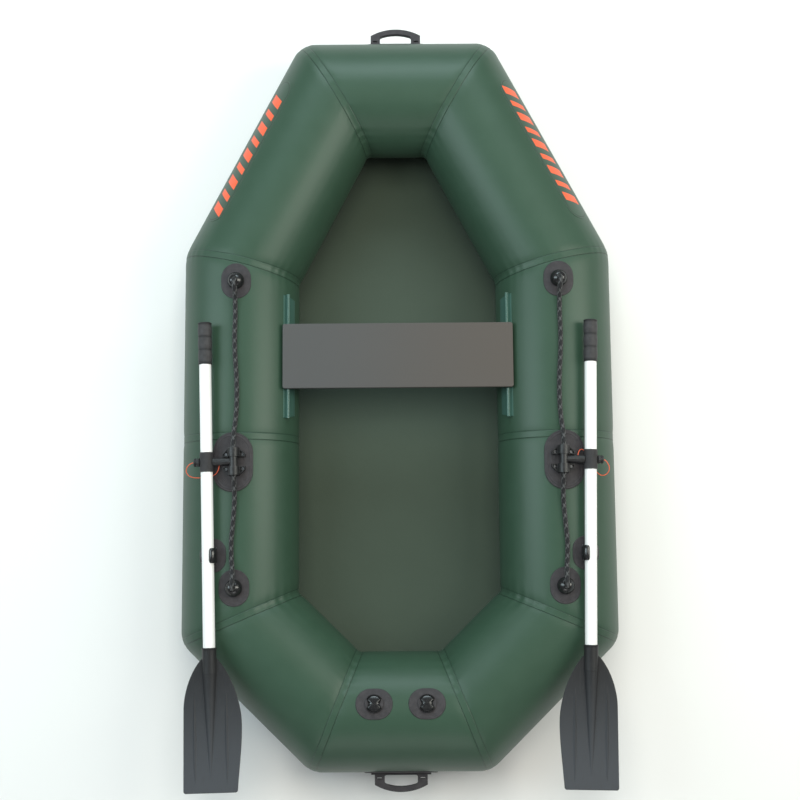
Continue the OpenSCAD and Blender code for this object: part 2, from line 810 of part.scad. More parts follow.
// the cap: a flange, a plug in the valve's bore and a waisted bar to turn it by
module valve_cap(s) {
    flange_r = 21.5;
    top_r = 21;
    arc_end = 32;
    hollow = 5;
    chord_x = top_r * cos(arc_end);
    chord_y = top_r * sin(arc_end);
    waist = [
        for (k = [0:12]) let (a = arc_end + (180 - 2 * arc_end) * k / 12)
            top_r * [cos(a), sin(a)],
        for (k = [1:7]) [hollow * sin(22.5 * k) - chord_x, chord_y * (1 - k / 4)],
        for (k = [0:12]) let (a = 180 + arc_end + (180 - 2 * arc_end) * k / 12)
            top_r * [cos(a), sin(a)],
        for (k = [1:7]) [chord_x - hollow * sin(22.5 * k), chord_y * (k / 4 - 1)]
    ];
    color(moulded) on_side(s) at_valve() difference() {
        union() {
            translate([0, 0, patch_t + 3 + free_gap]) cylinder(r = flange_r, h = 2);
            translate([0, 0, patch_t + 4 + free_gap]) linear_extrude(height = 8) polygon(waist);
            translate([0, 0, -3]) cylinder(r = valve_bore_r - free_gap, h = 9);
        }
        translate([0, 0, -4]) cylinder(r = 9.5, h = 8);
    }
}

module valve_poppet(s) {
    color(orange) on_side(s) at_valve() {
        translate([0, 0, -25]) cylinder(r = poppet_stem_r, h = 20);
        translate([0, 0, -26.4]) cylinder(r = 10, h = 2);
        translate([0, 0, -6.5]) cylinder(r = 5, h = 1.5);
    }
}

// a small compression spring between the guide and the poppet's head
module valve_spring(s) {
    turns = 4;
    steps = 10;
    last = turns * steps;
    color("silver") on_side(s) at_valve() sweep([
        for (i = [0:last]) let (a = 360 * i / steps)
            [3.6 * cos(a), 3.6 * sin(a), -14.4 + 7.2 * i / last]
    ], 0.4, 6);
}

// ---- Everything ----------------------------------------------------------------------------

bow_tube();
bow_quarter_tube(-1);  // bow_quarter_tube_port
bow_quarter_tube(1);  // bow_quarter_tube_stbd
fore_side_tube(-1);  // fore_side_tube_port
fore_side_tube(1);  // fore_side_tube_stbd
aft_side_tube(-1);  // aft_side_tube_port
aft_side_tube(1);  // aft_side_tube_stbd
stern_quarter_tube(-1);  // stern_quarter_tube_port
stern_quarter_tube(1);  // stern_quarter_tube_stbd
stern_tube();
bulkheads();
floor_sheet();
seam_tapes();
bow_handle();
stern_handle();
handle_patches();
rope_anchor_patches();
rope_anchors();
lifeline(-1);  // lifeline_port
lifeline(1);  // lifeline_stbd
rowlock_patches();
rowlock_bearings(-1);  // rowlock_bearings_port
rowlock_bearings(1);  // rowlock_bearings_stbd
rowlock_screws();
clip_patches();
paddle_clip(-1);  // paddle_clip_port
paddle_clip(1);  // paddle_clip_stbd
seat_rail(-1);  // seat_rail_port
seat_rail(1);  // seat_rail_stbd
valve_patches();
valve_bodies();
bow_stripes();
seat_board();
seat_channels();
seat_screws();
swivel(-1);  // swivel_port
swivel(1);  // swivel_stbd
swivel_nut(-1);  // swivel_nut_port
swivel_nut(1);  // swivel_nut_stbd
lanyard(-1, lanyard_route_port);  // lanyard_port
lanyard(1, lanyard_route_stbd);  // lanyard_stbd
oar_shaft(-1);  // oar_shaft_port
oar_shaft(1);  // oar_shaft_stbd
oar_grip(-1);  // oar_grip_port
oar_grip(1);  // oar_grip_stbd
oar_sleeve(-1);  // oar_sleeve_port
oar_sleeve(1);  // oar_sleeve_stbd
oar_blade(-1);  // oar_blade_port
oar_blade(1);  // oar_blade_stbd
snap_button(-1);  // snap_button_port
snap_button(1);  // snap_button_stbd
button_spring(-1);  // button_spring_port
button_spring(1);  // button_spring_stbd
valve_cap(-1);  // valve_cap_port
valve_cap(1);  // valve_cap_stbd
valve_poppet(-1);  // valve_poppet_port
valve_poppet(1);  // valve_poppet_stbd
valve_spring(-1);  // valve_spring_port
valve_spring(1);  // valve_spring_stbd
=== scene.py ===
"""Inflatable rowing dinghy: the finish of its fabric, fittings, ropes and oars.

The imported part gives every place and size. Lengths are in metres: +X is starboard, +Y the bow
and +Z up, with the origin under the middle of the floor.
"""
import math

import bmesh
import bpy
import numpy as np
from mathutils import Matrix


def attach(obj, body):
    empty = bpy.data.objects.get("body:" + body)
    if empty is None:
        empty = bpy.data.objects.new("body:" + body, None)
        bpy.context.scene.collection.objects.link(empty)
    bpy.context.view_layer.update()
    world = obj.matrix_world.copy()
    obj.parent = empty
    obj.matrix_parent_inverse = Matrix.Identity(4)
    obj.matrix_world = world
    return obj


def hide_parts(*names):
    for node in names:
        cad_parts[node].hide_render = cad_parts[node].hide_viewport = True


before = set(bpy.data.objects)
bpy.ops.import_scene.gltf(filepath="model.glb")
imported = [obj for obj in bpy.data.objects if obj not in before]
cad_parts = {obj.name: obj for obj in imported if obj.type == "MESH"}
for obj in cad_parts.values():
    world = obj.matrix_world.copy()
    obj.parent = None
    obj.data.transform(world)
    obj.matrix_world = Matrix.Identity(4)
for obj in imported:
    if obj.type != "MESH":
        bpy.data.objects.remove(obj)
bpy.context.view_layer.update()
UP = np.array([0.0, 0.0, 1.0])


# ---- Camera and studio --------
# The boat lies on a plain pale floor, and the camera hangs over it, a little to the stern. Soft
# lamps stand past the bow, past the stern and at both sides; a warm one overhead lights the
# fabric but doesn't shine in it.

camera_pitch = math.radians(7.13)
camera_roll = math.radians(-0.47)
back = np.array([0.0, -math.sin(camera_pitch), math.cos(camera_pitch)])
level_right = np.array([1.0, 0.0, 0.0])
level_up = np.cross(back, level_right)
right = math.cos(camera_roll) * level_right + math.sin(camera_roll) * level_up
camera_data = bpy.data.cameras.new("camera")
camera_data.lens = 60.1
camera = bpy.data.objects.new("camera", camera_data)
facing = Matrix(np.column_stack([right, np.cross(back, right), back])).to_4x4()
camera.matrix_world = Matrix.Translation((0.0046, -0.4418, 3.631)) @ facing
bpy.context.scene.collection.objects.link(camera)
bpy.context.scene.camera = camera
bpy.context.scene.view_settings.view_transform = "Standard"


def soft_lamp(name, place, aim, size, power, tint=(1.0, 1.0, 1.0)):
    """A wide lamp at place, facing the point aim."""
    data = bpy.data.lights.new(name, "AREA")
    data.shape, data.size, data.size_y = "RECTANGLE", *size
    data.energy, data.color = power, tint
    lamp = bpy.data.objects.new(name, data)
    away = Matrix.Translation(place).translation - Matrix.Translation(aim).translation
    lamp.matrix_world = Matrix.Translation(place) @ away.to_track_quat("Z", "Y").to_matrix().to_4x4()
    bpy.context.scene.collection.objects.link(lamp)


soft_lamp("bow lamp", (0.0, 3.6, 2.8), (0.0, 0.2, 0.1), (3.4, 1.6), 90, (0.82, 1.0, 1.06))
soft_lamp("stern lamp", (0.0, -3.6, 2.2), (0.0, -0.3, 0.1), (3.0, 1.2), 20)
soft_lamp("port lamp", (-3.0, 0.3, 3.0), (0.0, 0.0, 0.1), (1.5, 3.2), 74, (0.82, 1.0, 1.06))
soft_lamp("starboard lamp", (3.0, 0.3, 3.0), (0.0, 0.0, 0.1), (1.5, 3.2), 92, (1.0, 1.0, 0.90))
soft_lamp("overhead lamp", (0.0, 0.9, 4.8), (0.0, 0.0, 0.1), (2.6, 2.6), 120, (1.0, 0.96, 0.86))
bpy.context.scene.objects["overhead lamp"].visible_glossy = False

world = bpy.data.worlds.new("studio air")
bpy.context.scene.world = world
world.use_nodes = True
air = world.node_tree.nodes["Background"].inputs
air["Color"].default_value, air["Strength"].default_value = (0.95, 1.0, 1.0, 1.0), 0.17

bpy.ops.mesh.primitive_plane_add(size=40, location=(0, 0, -0.0006))
ground = bpy.context.object
ground.name = "studio_floor"


# ---- Lifelines --------
# A 12 mm braided polyester rope runs along each side tube, through the hollow crossbar of the
# rowlock. Its ends are drawn down into the slots of two moulded domes and knotted inside.


class Field:
    """A value or place on its way through a material. Sums on it add Math nodes."""

    def __init__(self, tree, socket=None):
        self.tree = tree
        self.socket = socket

    def make(self, kind, settings, sockets, output=0):
        """Any node: its settings are set first, then its sockets' values or links."""
        node = self.tree.nodes.new(kind)
        for name, value in settings.items():
            setattr(node, name, value)
        for name, value in sockets.items():
            if isinstance(value, Field):
                self.tree.links.new(value.socket, node.inputs[name])
            else:
                node.inputs[name].default_value = value
        return Field(self.tree, node.outputs[output])

    def sum_with(self, operation, first, second=0.0):
        return self.make("ShaderNodeMath", {"operation": operation}, {0: first, 1: second})

    def __add__(self, other):
        return self.sum_with("ADD", self, other)

    __radd__ = __add__

    def __sub__(self, other):
        return self.sum_with("SUBTRACT", self, other)

    def __rsub__(self, other):
        return self.sum_with("SUBTRACT", other, self)

    def __mul__(self, other):
        return self.sum_with("MULTIPLY", self, other)

    __rmul__ = __mul__

    def __truediv__(self, other):
        return self.sum_with("DIVIDE", self, other)

    def __abs__(self):
        return self.sum_with("ABSOLUTE", self)

    def wave(self):
        """The sine of this value."""
        return self.sum_with("SINE", self)

    def rise(self, low, high):
        """0 below low, 1 above high, and smooth between them."""
        sockets = {"Value": self, "From Min": low, "From Max": high}
        return self.make("ShaderNodeMapRange", {"interpolation_type": "SMOOTHSTEP"}, sockets)

    def blend(self, first, second):
        """The colour first where this value is 0, and second where it is 1."""
        sockets = {0: self, 6: first, 7: second}
        return self.make("ShaderNodeMix", {"data_type": "RGBA"}, sockets, output=2)

    def grain(self, size, detail=2.0, stretch=None):
        """Cloudy noise whose grains are about size metres across; stretch lengthens them."""
        place = self
        if stretch:
            place = self.make("ShaderNodeMapping", {}, {"Vector": self, "Scale": stretch})
        return self.make("ShaderNodeTexNoise", {}, {"Vector": place, "Scale": 1 / size, "Detail": detail})

    def cells(self, size):
        """0 at the middle of pebbles about size metres across, and more towards their edges."""
        return self.make("ShaderNodeTexVoronoi", {}, {"Vector": self, "Scale": 1 / size})

    def part(self, axis):
        """One of the three numbers of a place: 0 is across, 1 along and 2 up."""
        return self.make("ShaderNodeSeparateXYZ", {}, {0: self}, output=axis)

    def mark(self, name):
        """What the piece's own attribute of that name says here."""
        return self.make("ShaderNodeAttribute", {"attribute_name": name}, {}, output=2)


def finish(name, recipe, **constants):
    """A material. recipe takes the place as a Field and returns what varies over the surface:
    shader inputs by name, and "relief", a height in metres. constants are set on the shader."""
    made = bpy.data.materials.new(name)
    made.use_nodes = True
    shader = made.node_tree.nodes["Principled BSDF"]
    tools = Field(made.node_tree)
    inputs = recipe(tools.make("ShaderNodeTexCoord", {}, {}, output=3))
    if "relief" in inputs:
        sockets = {"Height": inputs.pop("relief"), "Distance": 1.0, "Strength": 1.0}
        inputs["Normal"] = tools.make("ShaderNodeBump", {}, sockets)
    for key, value in inputs.items():
        made.node_tree.links.new(value.socket, shader.inputs[key])
    for key, value in constants.items():
        shader.inputs[key.replace("_", " ")].default_value = value
    return made


def skin(name, rings, ends="flat", crease=40.0, **marks):
    """A closed surface over rings of points, an array (rings, points, 3). Its ends are "flat"
    caps, a "point" each, or "joined" to each other. marks are kept as attributes."""
    count, sides = rings.shape[:2]
    index = np.arange(count * sides).reshape(count, sides)
    here, there = index[:-1], index[1:]
    if ends == "joined":
        here, there = index, np.roll(index, -1, 0)
    quads = np.stack([here, np.roll(here, -1, 1), np.roll(there, -1, 1), there], -1)
    faces = quads.reshape(-1, 4).tolist()
    if ends == "flat":
        faces += [index[0].tolist(), index[-1].tolist()]
    mesh = bpy.data.meshes.new(name)
    mesh.from_pydata(rings.reshape(-1, 3), [], faces)
    for key, values in marks.items():
        held = mesh.attributes.new(key, "FLOAT", "POINT")
        held.data.foreach_set("value", np.ascontiguousarray(values, dtype=np.float32).ravel())
    turn_out(mesh, 1e-6 if ends == "point" else 0.0)
    return placed(name, mesh, crease)


def turn_out(mesh, weld):
    """Merges doubles closer than weld, and turns every face outwards."""
    work = bmesh.new()
    work.from_mesh(mesh)
    if weld:
        bmesh.ops.remove_doubles(work, verts=work.verts, dist=weld)
    bmesh.ops.recalc_face_normals(work, faces=work.faces)
    work.to_mesh(mesh)
    work.free()


def placed(name, mesh, crease):
    """A mesh as an object at the origin, smooth except where faces meet at over crease degrees."""
    mesh.shade_smooth()
    mesh.set_sharp_from_angle(angle=math.radians(crease))
    piece = bpy.data.objects.new(name, mesh)
    bpy.context.scene.collection.objects.link(piece)
    return piece


def fit(piece, body, look, *nodes, slot=None):
    """Gives a piece its material and its body, and hides the nodes that it stands for. slot is not
    used."""
    piece.data.materials.clear()
    piece.data.materials.append(look)
    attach(piece, body)
    if nodes:
        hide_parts(*nodes)
    return piece


def smooth_path(points, step):
    """Points a step apart on the Catmull-Rom curve through the given ones."""
    knots = np.vstack([2 * points[0] - points[1], points, 2 * points[-1] - points[-2]])
    before, start, end, after = (knots[k : len(points) - 1 + k, None] for k in range(4))
    t = np.linspace(0, 1, 40, endpoint=False)[None, :, None]
    bent = 2 * before - 5 * start + 4 * end - after
    rest = 3 * start - before - 3 * end + after
    fine = 0.5 * (2 * start + (end - before) * t + bent * t**2 + rest * t**3)
    fine = np.vstack([fine.reshape(-1, 3), points[-1:]])
    run = np.concatenate([[0], np.cumsum(np.linalg.norm(np.diff(fine, axis=0), axis=1))])
    marks = np.linspace(0, run[-1], max(int(run[-1] / step), 8))
    return np.column_stack([np.interp(marks, run, fine[:, k]) for k in range(3)]), marks


def ring_frames(path):
    """Two directions square to a path at each of its points, the first one level."""
    ahead = np.gradient(path, axis=0)
    ahead /= np.linalg.norm(ahead, axis=1)[:, None]
    level = np.cross(ahead, UP)
    level /= np.linalg.norm(level, axis=1)[:, None]
    return level, np.cross(level, ahead)


def full_turn(count):
    """That many angles, evenly round a circle."""
    return np.linspace(0, 2 * np.pi, count, endpoint=False)


def quarter(share):
    """Rises as a quarter circle: 0 at 0, upright at first, and 1 from 1 on."""
    return np.sqrt(1 - (1 - np.clip(share, 0, 1)) ** 2)


def braided(name, path, run, radius, strands, pitch, bulge, sides=32):
    """A braided cord: a tube whose radius rises by bulge over strands that cross. With turns a
    and b of the two sets of helices, the strand on top is picked by cos of their half sum."""
    level, over = ring_frames(path)
    turn = full_turn(sides)[None, :]
    one = strands * turn + 2 * np.pi * run[:, None] / pitch
    two = strands * turn - 2 * np.pi * run[:, None] / pitch
    top = 0.5 + 0.5 * np.cos((one + two) / 2) * np.cos((one - two) / 2)
    ridge = np.maximum(np.abs(np.cos(one / 2)) * top, np.abs(np.cos(two / 2)) * (1 - top))
    above = np.abs(np.cos(one / 2)) * top > np.abs(np.cos(two / 2)) * (1 - top)
    yarn = np.where(above, np.cos(one / 2), np.cos(two / 2))
    ends = quarter(np.minimum(run, run[-1] - run)[:, None] / radius)
    reach = (radius - bulge + bulge * ridge) * (0.55 + 0.45 * ends)
    spoke = np.cos(turn)[..., None] * level[:, None] + np.sin(turn)[..., None] * over[:, None]
    rings = path[:, None] + reach[..., None] * spoke
    return skin(name, rings, crease=180, ridge=ridge, yarn=yarn)


def rope_recipe(place):
    """Black yarns with grey flecks, and nearly no light between them."""
    ridge = place.mark("ridge")
    fleck = (place.mark("yarn") + 0.8 * place.grain(0.006, 3)).rise(0.45, 0.95)
    lit = fleck.blend((0.012, 0.012, 0.014, 1), (0.075, 0.077, 0.080, 1))
    fibre = place.grain(0.0006, 2)
    return {
        "Base Color": ridge.rise(0.25, 0.6).blend((0.004, 0.004, 0.005, 1), lit),
        "Roughness": 0.55 + 0.2 * fibre,
        "relief": 0.00025 * fibre,
    }


rope_look = finish("rope", rope_recipe, Specular_IOR_Level=0.35, Sheen_Weight=0.15)
both_sides = (("port", -1), ("stbd", 1))
rope_d = 0.012
rowlock_x, rowlock_y = 0.410, -0.178
rope_route = np.array([
    [1, -493.5, 320], [1, -490, 328.5], [1, -484, 331.5], [1, -474, 330], [1, -463, 325],
    [2, -452, 318], [3, -440, 312.5], [5, -422, 308.6], [6, -400, 307.3], [6, -375, 307.3],
    [4, -350, 307.4], [2, -325, 307.5], [0, -300, 308], [-1.5, -276, 310.2], [-2, -258, 313.4],
    [-1.6, -240, 318.5], [-1, -222, 323.5], [-0.7, -208, 325], [0, -178, 325],
    [0.7, -148, 325], [1, -134, 323.5], [1, -116, 318.5], [0, -98, 313.4], [-2, -80, 310],
    [-4, -55, 308], [-5, -25, 307.4], [-5, 5, 307.4], [-4, 35, 307.5], [-2, 65, 307.5],
    [0, 95, 307.5], [1, 125, 307.5], [1, 155, 307.5], [0, 185, 307.6], [0, 210, 308.6],
    [0, 232, 312], [0, 245, 318], [0, 256, 325], [1, 267, 330], [1, 277, 331.5],
    [1, 283, 328.5], [1, 286.5, 320],
]) / 1000 + [rowlock_x, 0, 0]

for side, sign in both_sides:
    line, run = smooth_path(rope_route * [sign, 1, 1], 0.0011)
    rope = braided(f"rope_{side}", line, run, rope_d / 2 + 0.0003, 4, 0.0125, 0.0011)
    fit(rope, "hull", rope_look, f"lifeline_{side}")


# ---- Lanyards --------
# A thin orange cord ties each rowlock nut to the inboard end of the pin, under the oar's
# sleeve, so that a loose nut isn't lost. It goes round the nut's groove and ends in knots.

lanyard_d = 0.0024
oar_out, toe = 0.0675, math.radians(1.35)
lanyard_routes = {
    "port": [
        [32, 0, 315], [38, -1, 314], [45, -5, 311.5], [51, -12, 308], [53, -21, 303.5],
        [49, -29, 299], [41, -34, 295.5], [31, -36, 293], [20, -36, 292], [9, -35, 291.5],
        [-2, -34, 294], [-11, -33, 297.5], [-18, -30, 301.5], [-24, -25, 305.5], [-28, -18, 310],
        [-30, -12, 314], [-31, -9.4, 317],
    ],
    "stbd": [
        [32, 0, 315], [38, -3, 313.5], [44, -10, 310.5], [48, -19, 306], [47, -28, 301.5],
        [42, -35, 297.5], [34, -38, 295], [26, -36, 293.5], [18, -29, 292.5], [10, -18, 292],
        [3, -6, 292], [-3, 6, 293.6], [-8, 15, 296], [-13, 22, 299], [-19, 25.5, 302.5],
        [-25, 24, 305], [-29, 18, 310], [-31, 12, 314.5], [-31, 9.4, 317],
    ],
}


def lanyard_recipe(place):
    """Orange cord, with painted shade between its strands: a deeper orange there."""
    ridge = place.mark("ridge").rise(0.15, 0.8)
    return {
        "Base Color": ridge.blend((0.55, 0.075, 0.025, 1), (0.92, 0.15, 0.055, 1)),
        "Roughness": 0.5 + 0.2 * place.grain(0.0008),
    }


def from_rowlock(points, sign):
    """Points that are counted from the rowlock, turned by the stowed oar's toe-in."""
    x, y, z = np.moveaxis(np.asarray(points, dtype=float), -1, 0)
    across = x * math.cos(toe) + y * math.sin(toe)
    along = y * math.cos(toe) - x * math.sin(toe)
    return np.stack([sign * (rowlock_x + across), rowlock_y + along, z], -1)


lanyard_look = finish("lanyard", lanyard_recipe, Sheen_Weight=0.2)
for side, sign in both_sides:
    route = np.array(lanyard_routes[side]) / 1000 + [oar_out, 0, 0]
    line, run = smooth_path(from_rowlock(route, sign), 0.0006)
    lanyard = braided(f"lanyard_cord_{side}", line, run, lanyard_d / 2, 4, 0.0056, 0.00025, 16)
    fit(lanyard, f"swivel_{side}", lanyard_look, f"lanyard_{side}")


# ---- Tube ring --------
# Ten panels of green coated fabric are welded into one ring and blown up hard. The outer
# corners round off, and next to each seam the fabric is drawn in a little and puckers.

tube_r, tube_z, wall_t = 0.150, 0.151, 0.001
corner_r, corner_spread = 0.034, 0.024
seam_reach, valley_depth, valley_w, fold_h, fold_reach = 0.060, 0.0022, 0.016, 0.0011, 0.022
end_half, side_x = 0.166, 0.410
end_y, shoulder_y, midship_y, quarter_y = 0.806, 0.342, -0.112, -0.568
half_ring = [(end_half, end_y), (side_x, shoulder_y), (side_x, midship_y), (side_x, quarter_y),
             (end_half, -end_y)]
ring = np.array(half_ring + [(-x, y) for x, y in reversed(half_ring)])
side_panels = ["bow_quarter", "fore_side", "aft_side", "stern_quarter"]
panels = ([(name, "_stbd") for name in side_panels] + [("stern", "")]
          + [(name, "_port") for name in reversed(side_panels)] + [("bow", "")])
around = full_turn(176)


def unit(vector):
    """The same direction at length 1."""
    return vector / np.linalg.norm(vector)


def beside_seam(seam, step, away, turn):
    """Points of the tube's surface at distances away from a seam, and angles turn from the
    outboard side. step is 1 for the panel after the seam and -1 for the one before it. Each
    level line of the ring has its corner rounded, wide outboard and tight inboard: an arc
    about a point inside the corner, then a straight line."""
    corner = ring[seam]
    ahead = unit(ring[(seam + step) % 10] - corner)
    behind = unit(ring[(seam - step) % 10] - corner)
    out = np.array([-ahead[1], ahead[0]]) * step
    out_behind = np.array([behind[1], -behind[0]]) * step
    mitre = unit(out + out_behind)
    half = math.acos(min(1.0, out @ mitre))
    radius = corner_r + corner_spread * np.cos(turn)
    offset = tube_r * np.cos(turn)
    tip = corner + mitre * (offset / math.cos(half))[:, None]
    middle = tip + ahead * (radius * math.tan(half))[:, None] - out * radius[:, None]
    left = np.maximum(half - away[:, None] / radius, 0.0)
    straight = np.maximum(away[:, None] - radius * half, 0.0)
    facing = out * np.cos(left)[..., None] - ahead * np.sin(left)[..., None]
    level = middle + radius[:, None] * facing + ahead * straight[..., None]
    lift = np.broadcast_to(tube_z + tube_r * np.sin(turn), left.shape)
    rise = np.broadcast_to(np.sin(turn), left.shape)
    normal = np.concatenate([facing * np.cos(turn)[:, None], rise[..., None]], -1)
    return np.concatenate([level, lift[..., None]], -1), normal


def hump(value, middle, width):
    """A smooth hump of height 1 about a middle value."""
    return np.exp(-(((value - middle) / width) ** 2))


def pucker(seam, away, turn):
    """How far the fabric is drawn in beside a seam: a shallow valley, and small folds across it
    that die away from it. Corners that turn more fold more, most of all inboard."""
    drawn = -valley_depth * hump(away[:, None], 0, valley_w)
    rng = np.random.default_rng(40 + min(seam, 9 - seam))
    waves = rng.integers(17, 46, 6)
    shifts = rng.uniform(0, 2 * np.pi, 6)
    folds = np.sin(waves * turn[:, None] + shifts).sum(1) / 3
    bend = 0.1 if seam in (2, 7) else 1.0
    inboard = 0.55 - 0.45 * np.cos(turn)
    return drawn + fold_h * bend * inboard * folds * np.exp(-away[:, None] / fold_reach)


def panel_surface(index, turn, inset=0.0, fine=22):
    """The panel from its seam index to the next: rows close together beside the seams."""
    away = np.linspace(0, 1, fine) ** 1.4 * seam_reach
    after = (index + 1) % 10
    ends = []
    for seam, step in ((index, 1), (after, -1)):
        points, normals = beside_seam(seam, step, away, turn)
        swell = pucker(seam, away, turn) - inset
        ends.append(points + normals * swell[..., None])
    between = np.linspace(0, 1, 18)[1:-1, None, None]
    middle = ends[0][-1] * (1 - between) + ends[1][-1] * between
    far = np.full(len(between), seam_reach)
    distance = np.concatenate([away, far, away[::-1]])
    return np.concatenate([ends[0], middle, ends[1][::-1]]), distance


def fabric_recipe(place):
    """Coated fabric: an even dark green with a faint mottle, and a thin darker line along the edge of
    each seam tape.
    """
    mottle = place.grain(0.05, 4)
    fine = place.grain(0.0012, 3)
    seam = place.mark("seam")
    edge = 1 - abs(seam - 0.0094).rise(0.0002, 0.0013)
    green = mottle.rise(0.2, 0.8).blend((0.029, 0.065, 0.041, 1), (0.032, 0.070, 0.045, 1))
    ripple = place.grain(0.022, 2)
    return {
        "Base Color": (edge * 0.4).blend(green, (0.004, 0.012, 0.008, 1)),
        "Roughness": 0.40 + 0.05 * mottle + 0.05 * fine,
        "relief": 0.00005 * fine + 0.0002 * ripple - 0.0002 * edge,
    }


fabric_look = finish("hull_fabric", fabric_recipe, Specular_IOR_Level=0.5)
for index, (name, side) in enumerate(panels):
    outer, distance = panel_surface(index, around)
    inner = panel_surface(index, around, wall_t, 4)[0]
    rings = np.concatenate([outer, inner[::-1]])
    seam = np.concatenate([distance, np.full(len(inner), seam_reach)])
    seam = np.broadcast_to(seam[:, None], rings.shape[:2])
    tube = skin(f"{name}{side}_tube_skin", rings, ends="joined", crease=60, seam=seam)
    fit(tube, "hull", fabric_look, f"{name}_tube{side}")


# ---- Seam tapes --------
# An 18 mm strip of the same fabric is glued over each seam, all round but for the floor. It
# lies in the seam's shallow valley and puckers with it.

tape_sink = 0.0008
tape_turn = np.linspace(math.radians(-74.5), math.radians(254.5), 190)
tape_profile = np.array([
    [-9.0, -0.4], [-8.8, 0.3], [-8.4, 0.8], [-6.0, 0.9], [-3.0, 1.0], [0.0, 1.1], [3.0, 1.0],
    [6.0, 0.9], [8.4, 0.8], [8.8, 0.3], [9.0, -0.4], [4.0, -0.6], [0.0, -0.8], [-4.0, -0.6],
]) / 1000


def tape_surface(seam):
    """The tape's profile, carried round the tube along the seam."""
    rows = np.zeros((len(tape_profile), len(tape_turn), 3))
    for step in (1, -1):
        wanted = tape_profile[:, 0] * step >= 0
        away, lift = np.abs(tape_profile[wanted, 0]), tape_profile[wanted, 1]
        points, normals = beside_seam(seam, step, away, tape_turn)
        swell = pucker(seam, away, tape_turn) + lift[:, None]
        rows[wanted] = points + normals * swell[..., None]
    return rows.transpose(1, 0, 2)


for seam in range(10):
    strip = tape_surface(seam)
    mark = np.broadcast_to(np.abs(tape_profile[:, 0]) + tape_sink, strip.shape[:2])
    tape = skin(f"seam_tape_{seam}", strip, crease=70, seam=mark)
    fit(tape, "hull", fabric_look, "seam_tapes")


# ---- Floor --------
# One sheet of matt coated fabric closes the bottom. It is welded to the tubes all round, and
# lies almost flat, with a few soft waves where it is pulled between them.

floor_t, floor_margin, wave_h = 0.001, 0.040, 0.0016


def ring_outline(margin, spread):
    """The ring's centre line moved out by margin along its mitres, as points in order."""
    ahead = np.roll(ring, -1, 0) - ring
    ahead /= np.linalg.norm(ahead, axis=1)[:, None]
    out = np.column_stack([-ahead[:, 1], ahead[:, 0]])
    mitre = out + np.roll(out, 1, 0)
    mitre /= np.linalg.norm(mitre, axis=1)[:, None]
    corners = ring + mitre * margin
    share = np.linspace(0, 1, spread, endpoint=False)[None, :, None]
    return (corners[:, None] * (1 - share) + np.roll(corners, -1, 0)[:, None] * share).reshape(-1, 2)


def floor_surface():
    """Rings from the middle to the edge and back underneath, as a flat closed bag. The top
    waves by a few sines that fade out before the edge."""
    edge = ring_outline(floor_margin, 24)
    share = np.linspace(0, 1, 60)[:, None, None]
    flat = edge[None] * share
    x, y = flat[..., 0], flat[..., 1]
    wave = (np.sin(9.0 * y + 2.0 * x) + np.sin(17.0 * x + 5.0 * y + 1.0)
            + 0.6 * np.sin(31.0 * y - 13.0 * x)) / 2.6
    fade = np.clip((0.84 - share[..., 0]) / 0.3, 0, 1)
    top = np.dstack([x, y, floor_t + wave_h * (1 + wave) * fade])
    under = np.dstack([x, y, 0.0004 * np.ones_like(x) * fade])
    return np.concatenate([top, under[::-1]])


def floor_recipe(place):
    """A matt cloth weave under a thin coat, with faint clouds and specks of dirt."""
    thread = 2 * math.pi / 0.0011
    weave = (place.part(0) * thread).wave() * (place.part(1) * thread).wave()
    cloud = place.grain(0.09, 5)
    base = cloud.rise(0.2, 0.8).blend((0.056, 0.078, 0.058, 1), (0.061, 0.084, 0.063, 1))
    return {
        "Base Color": (place.grain(0.002, 3) * 0.35).blend(base, (0.045, 0.058, 0.040, 1)),
        "Roughness": 0.62 + 0.16 * cloud,
        "relief": 0.00005 * weave + 0.0005 * place.grain(0.03, 2),
    }


floor_look = finish("floor_fabric", floor_recipe, Specular_IOR_Level=0.35)
floor_edge = ring_outline(floor_margin, 1)
next_edge = np.roll(floor_edge, -1, 0)
floor_area = abs(np.sum(floor_edge[:, 0] * next_edge[:, 1] - next_edge[:, 0] * floor_edge[:, 1])) / 2
floor = skin("floor_cloth", floor_surface(), ends="point", crease=70)
fit(floor, "hull", floor_look, "floor_sheet")


# ---- Glued patches --------
# Round-ended pads of black rubber carry the domes, rowlocks, clips, valves and handles. Each
# is moulded with fine rings inside its thin edge, and is glued down all over.

pad_sink = -0.0004


def on_tube(spot, outward, across, along, height):
    """Points over a tube: along its axis from spot, and across it as an arc from its top."""
    axis = np.cross(UP, outward)
    lean = (across / tube_r)[..., None]
    spoke = np.sin(lean) * outward + np.cos(lean) * UP
    return spot + along[..., None] * axis + (tube_r + height)[..., None] * spoke


def oblong(width, length, inset, steps=16):
    """The outline of a round-ended oblong, once for each inset; its ends keep their centres."""
    radius = width / 2 - inset[:, None]
    half = (length - width) / 2
    turn = np.linspace(0, np.pi, steps)
    side = radius * np.ones(steps - 2)
    down = np.broadcast_to(np.linspace(half, -half, steps)[1:-1], side.shape)
    cap_x, cap_y = radius * np.cos(turn), radius * np.sin(turn)
    across = np.concatenate([cap_x, -side, -cap_x, side], 1)
    along = np.concatenate([half + cap_y, down, -half - cap_y, -down], 1)
    return across, along


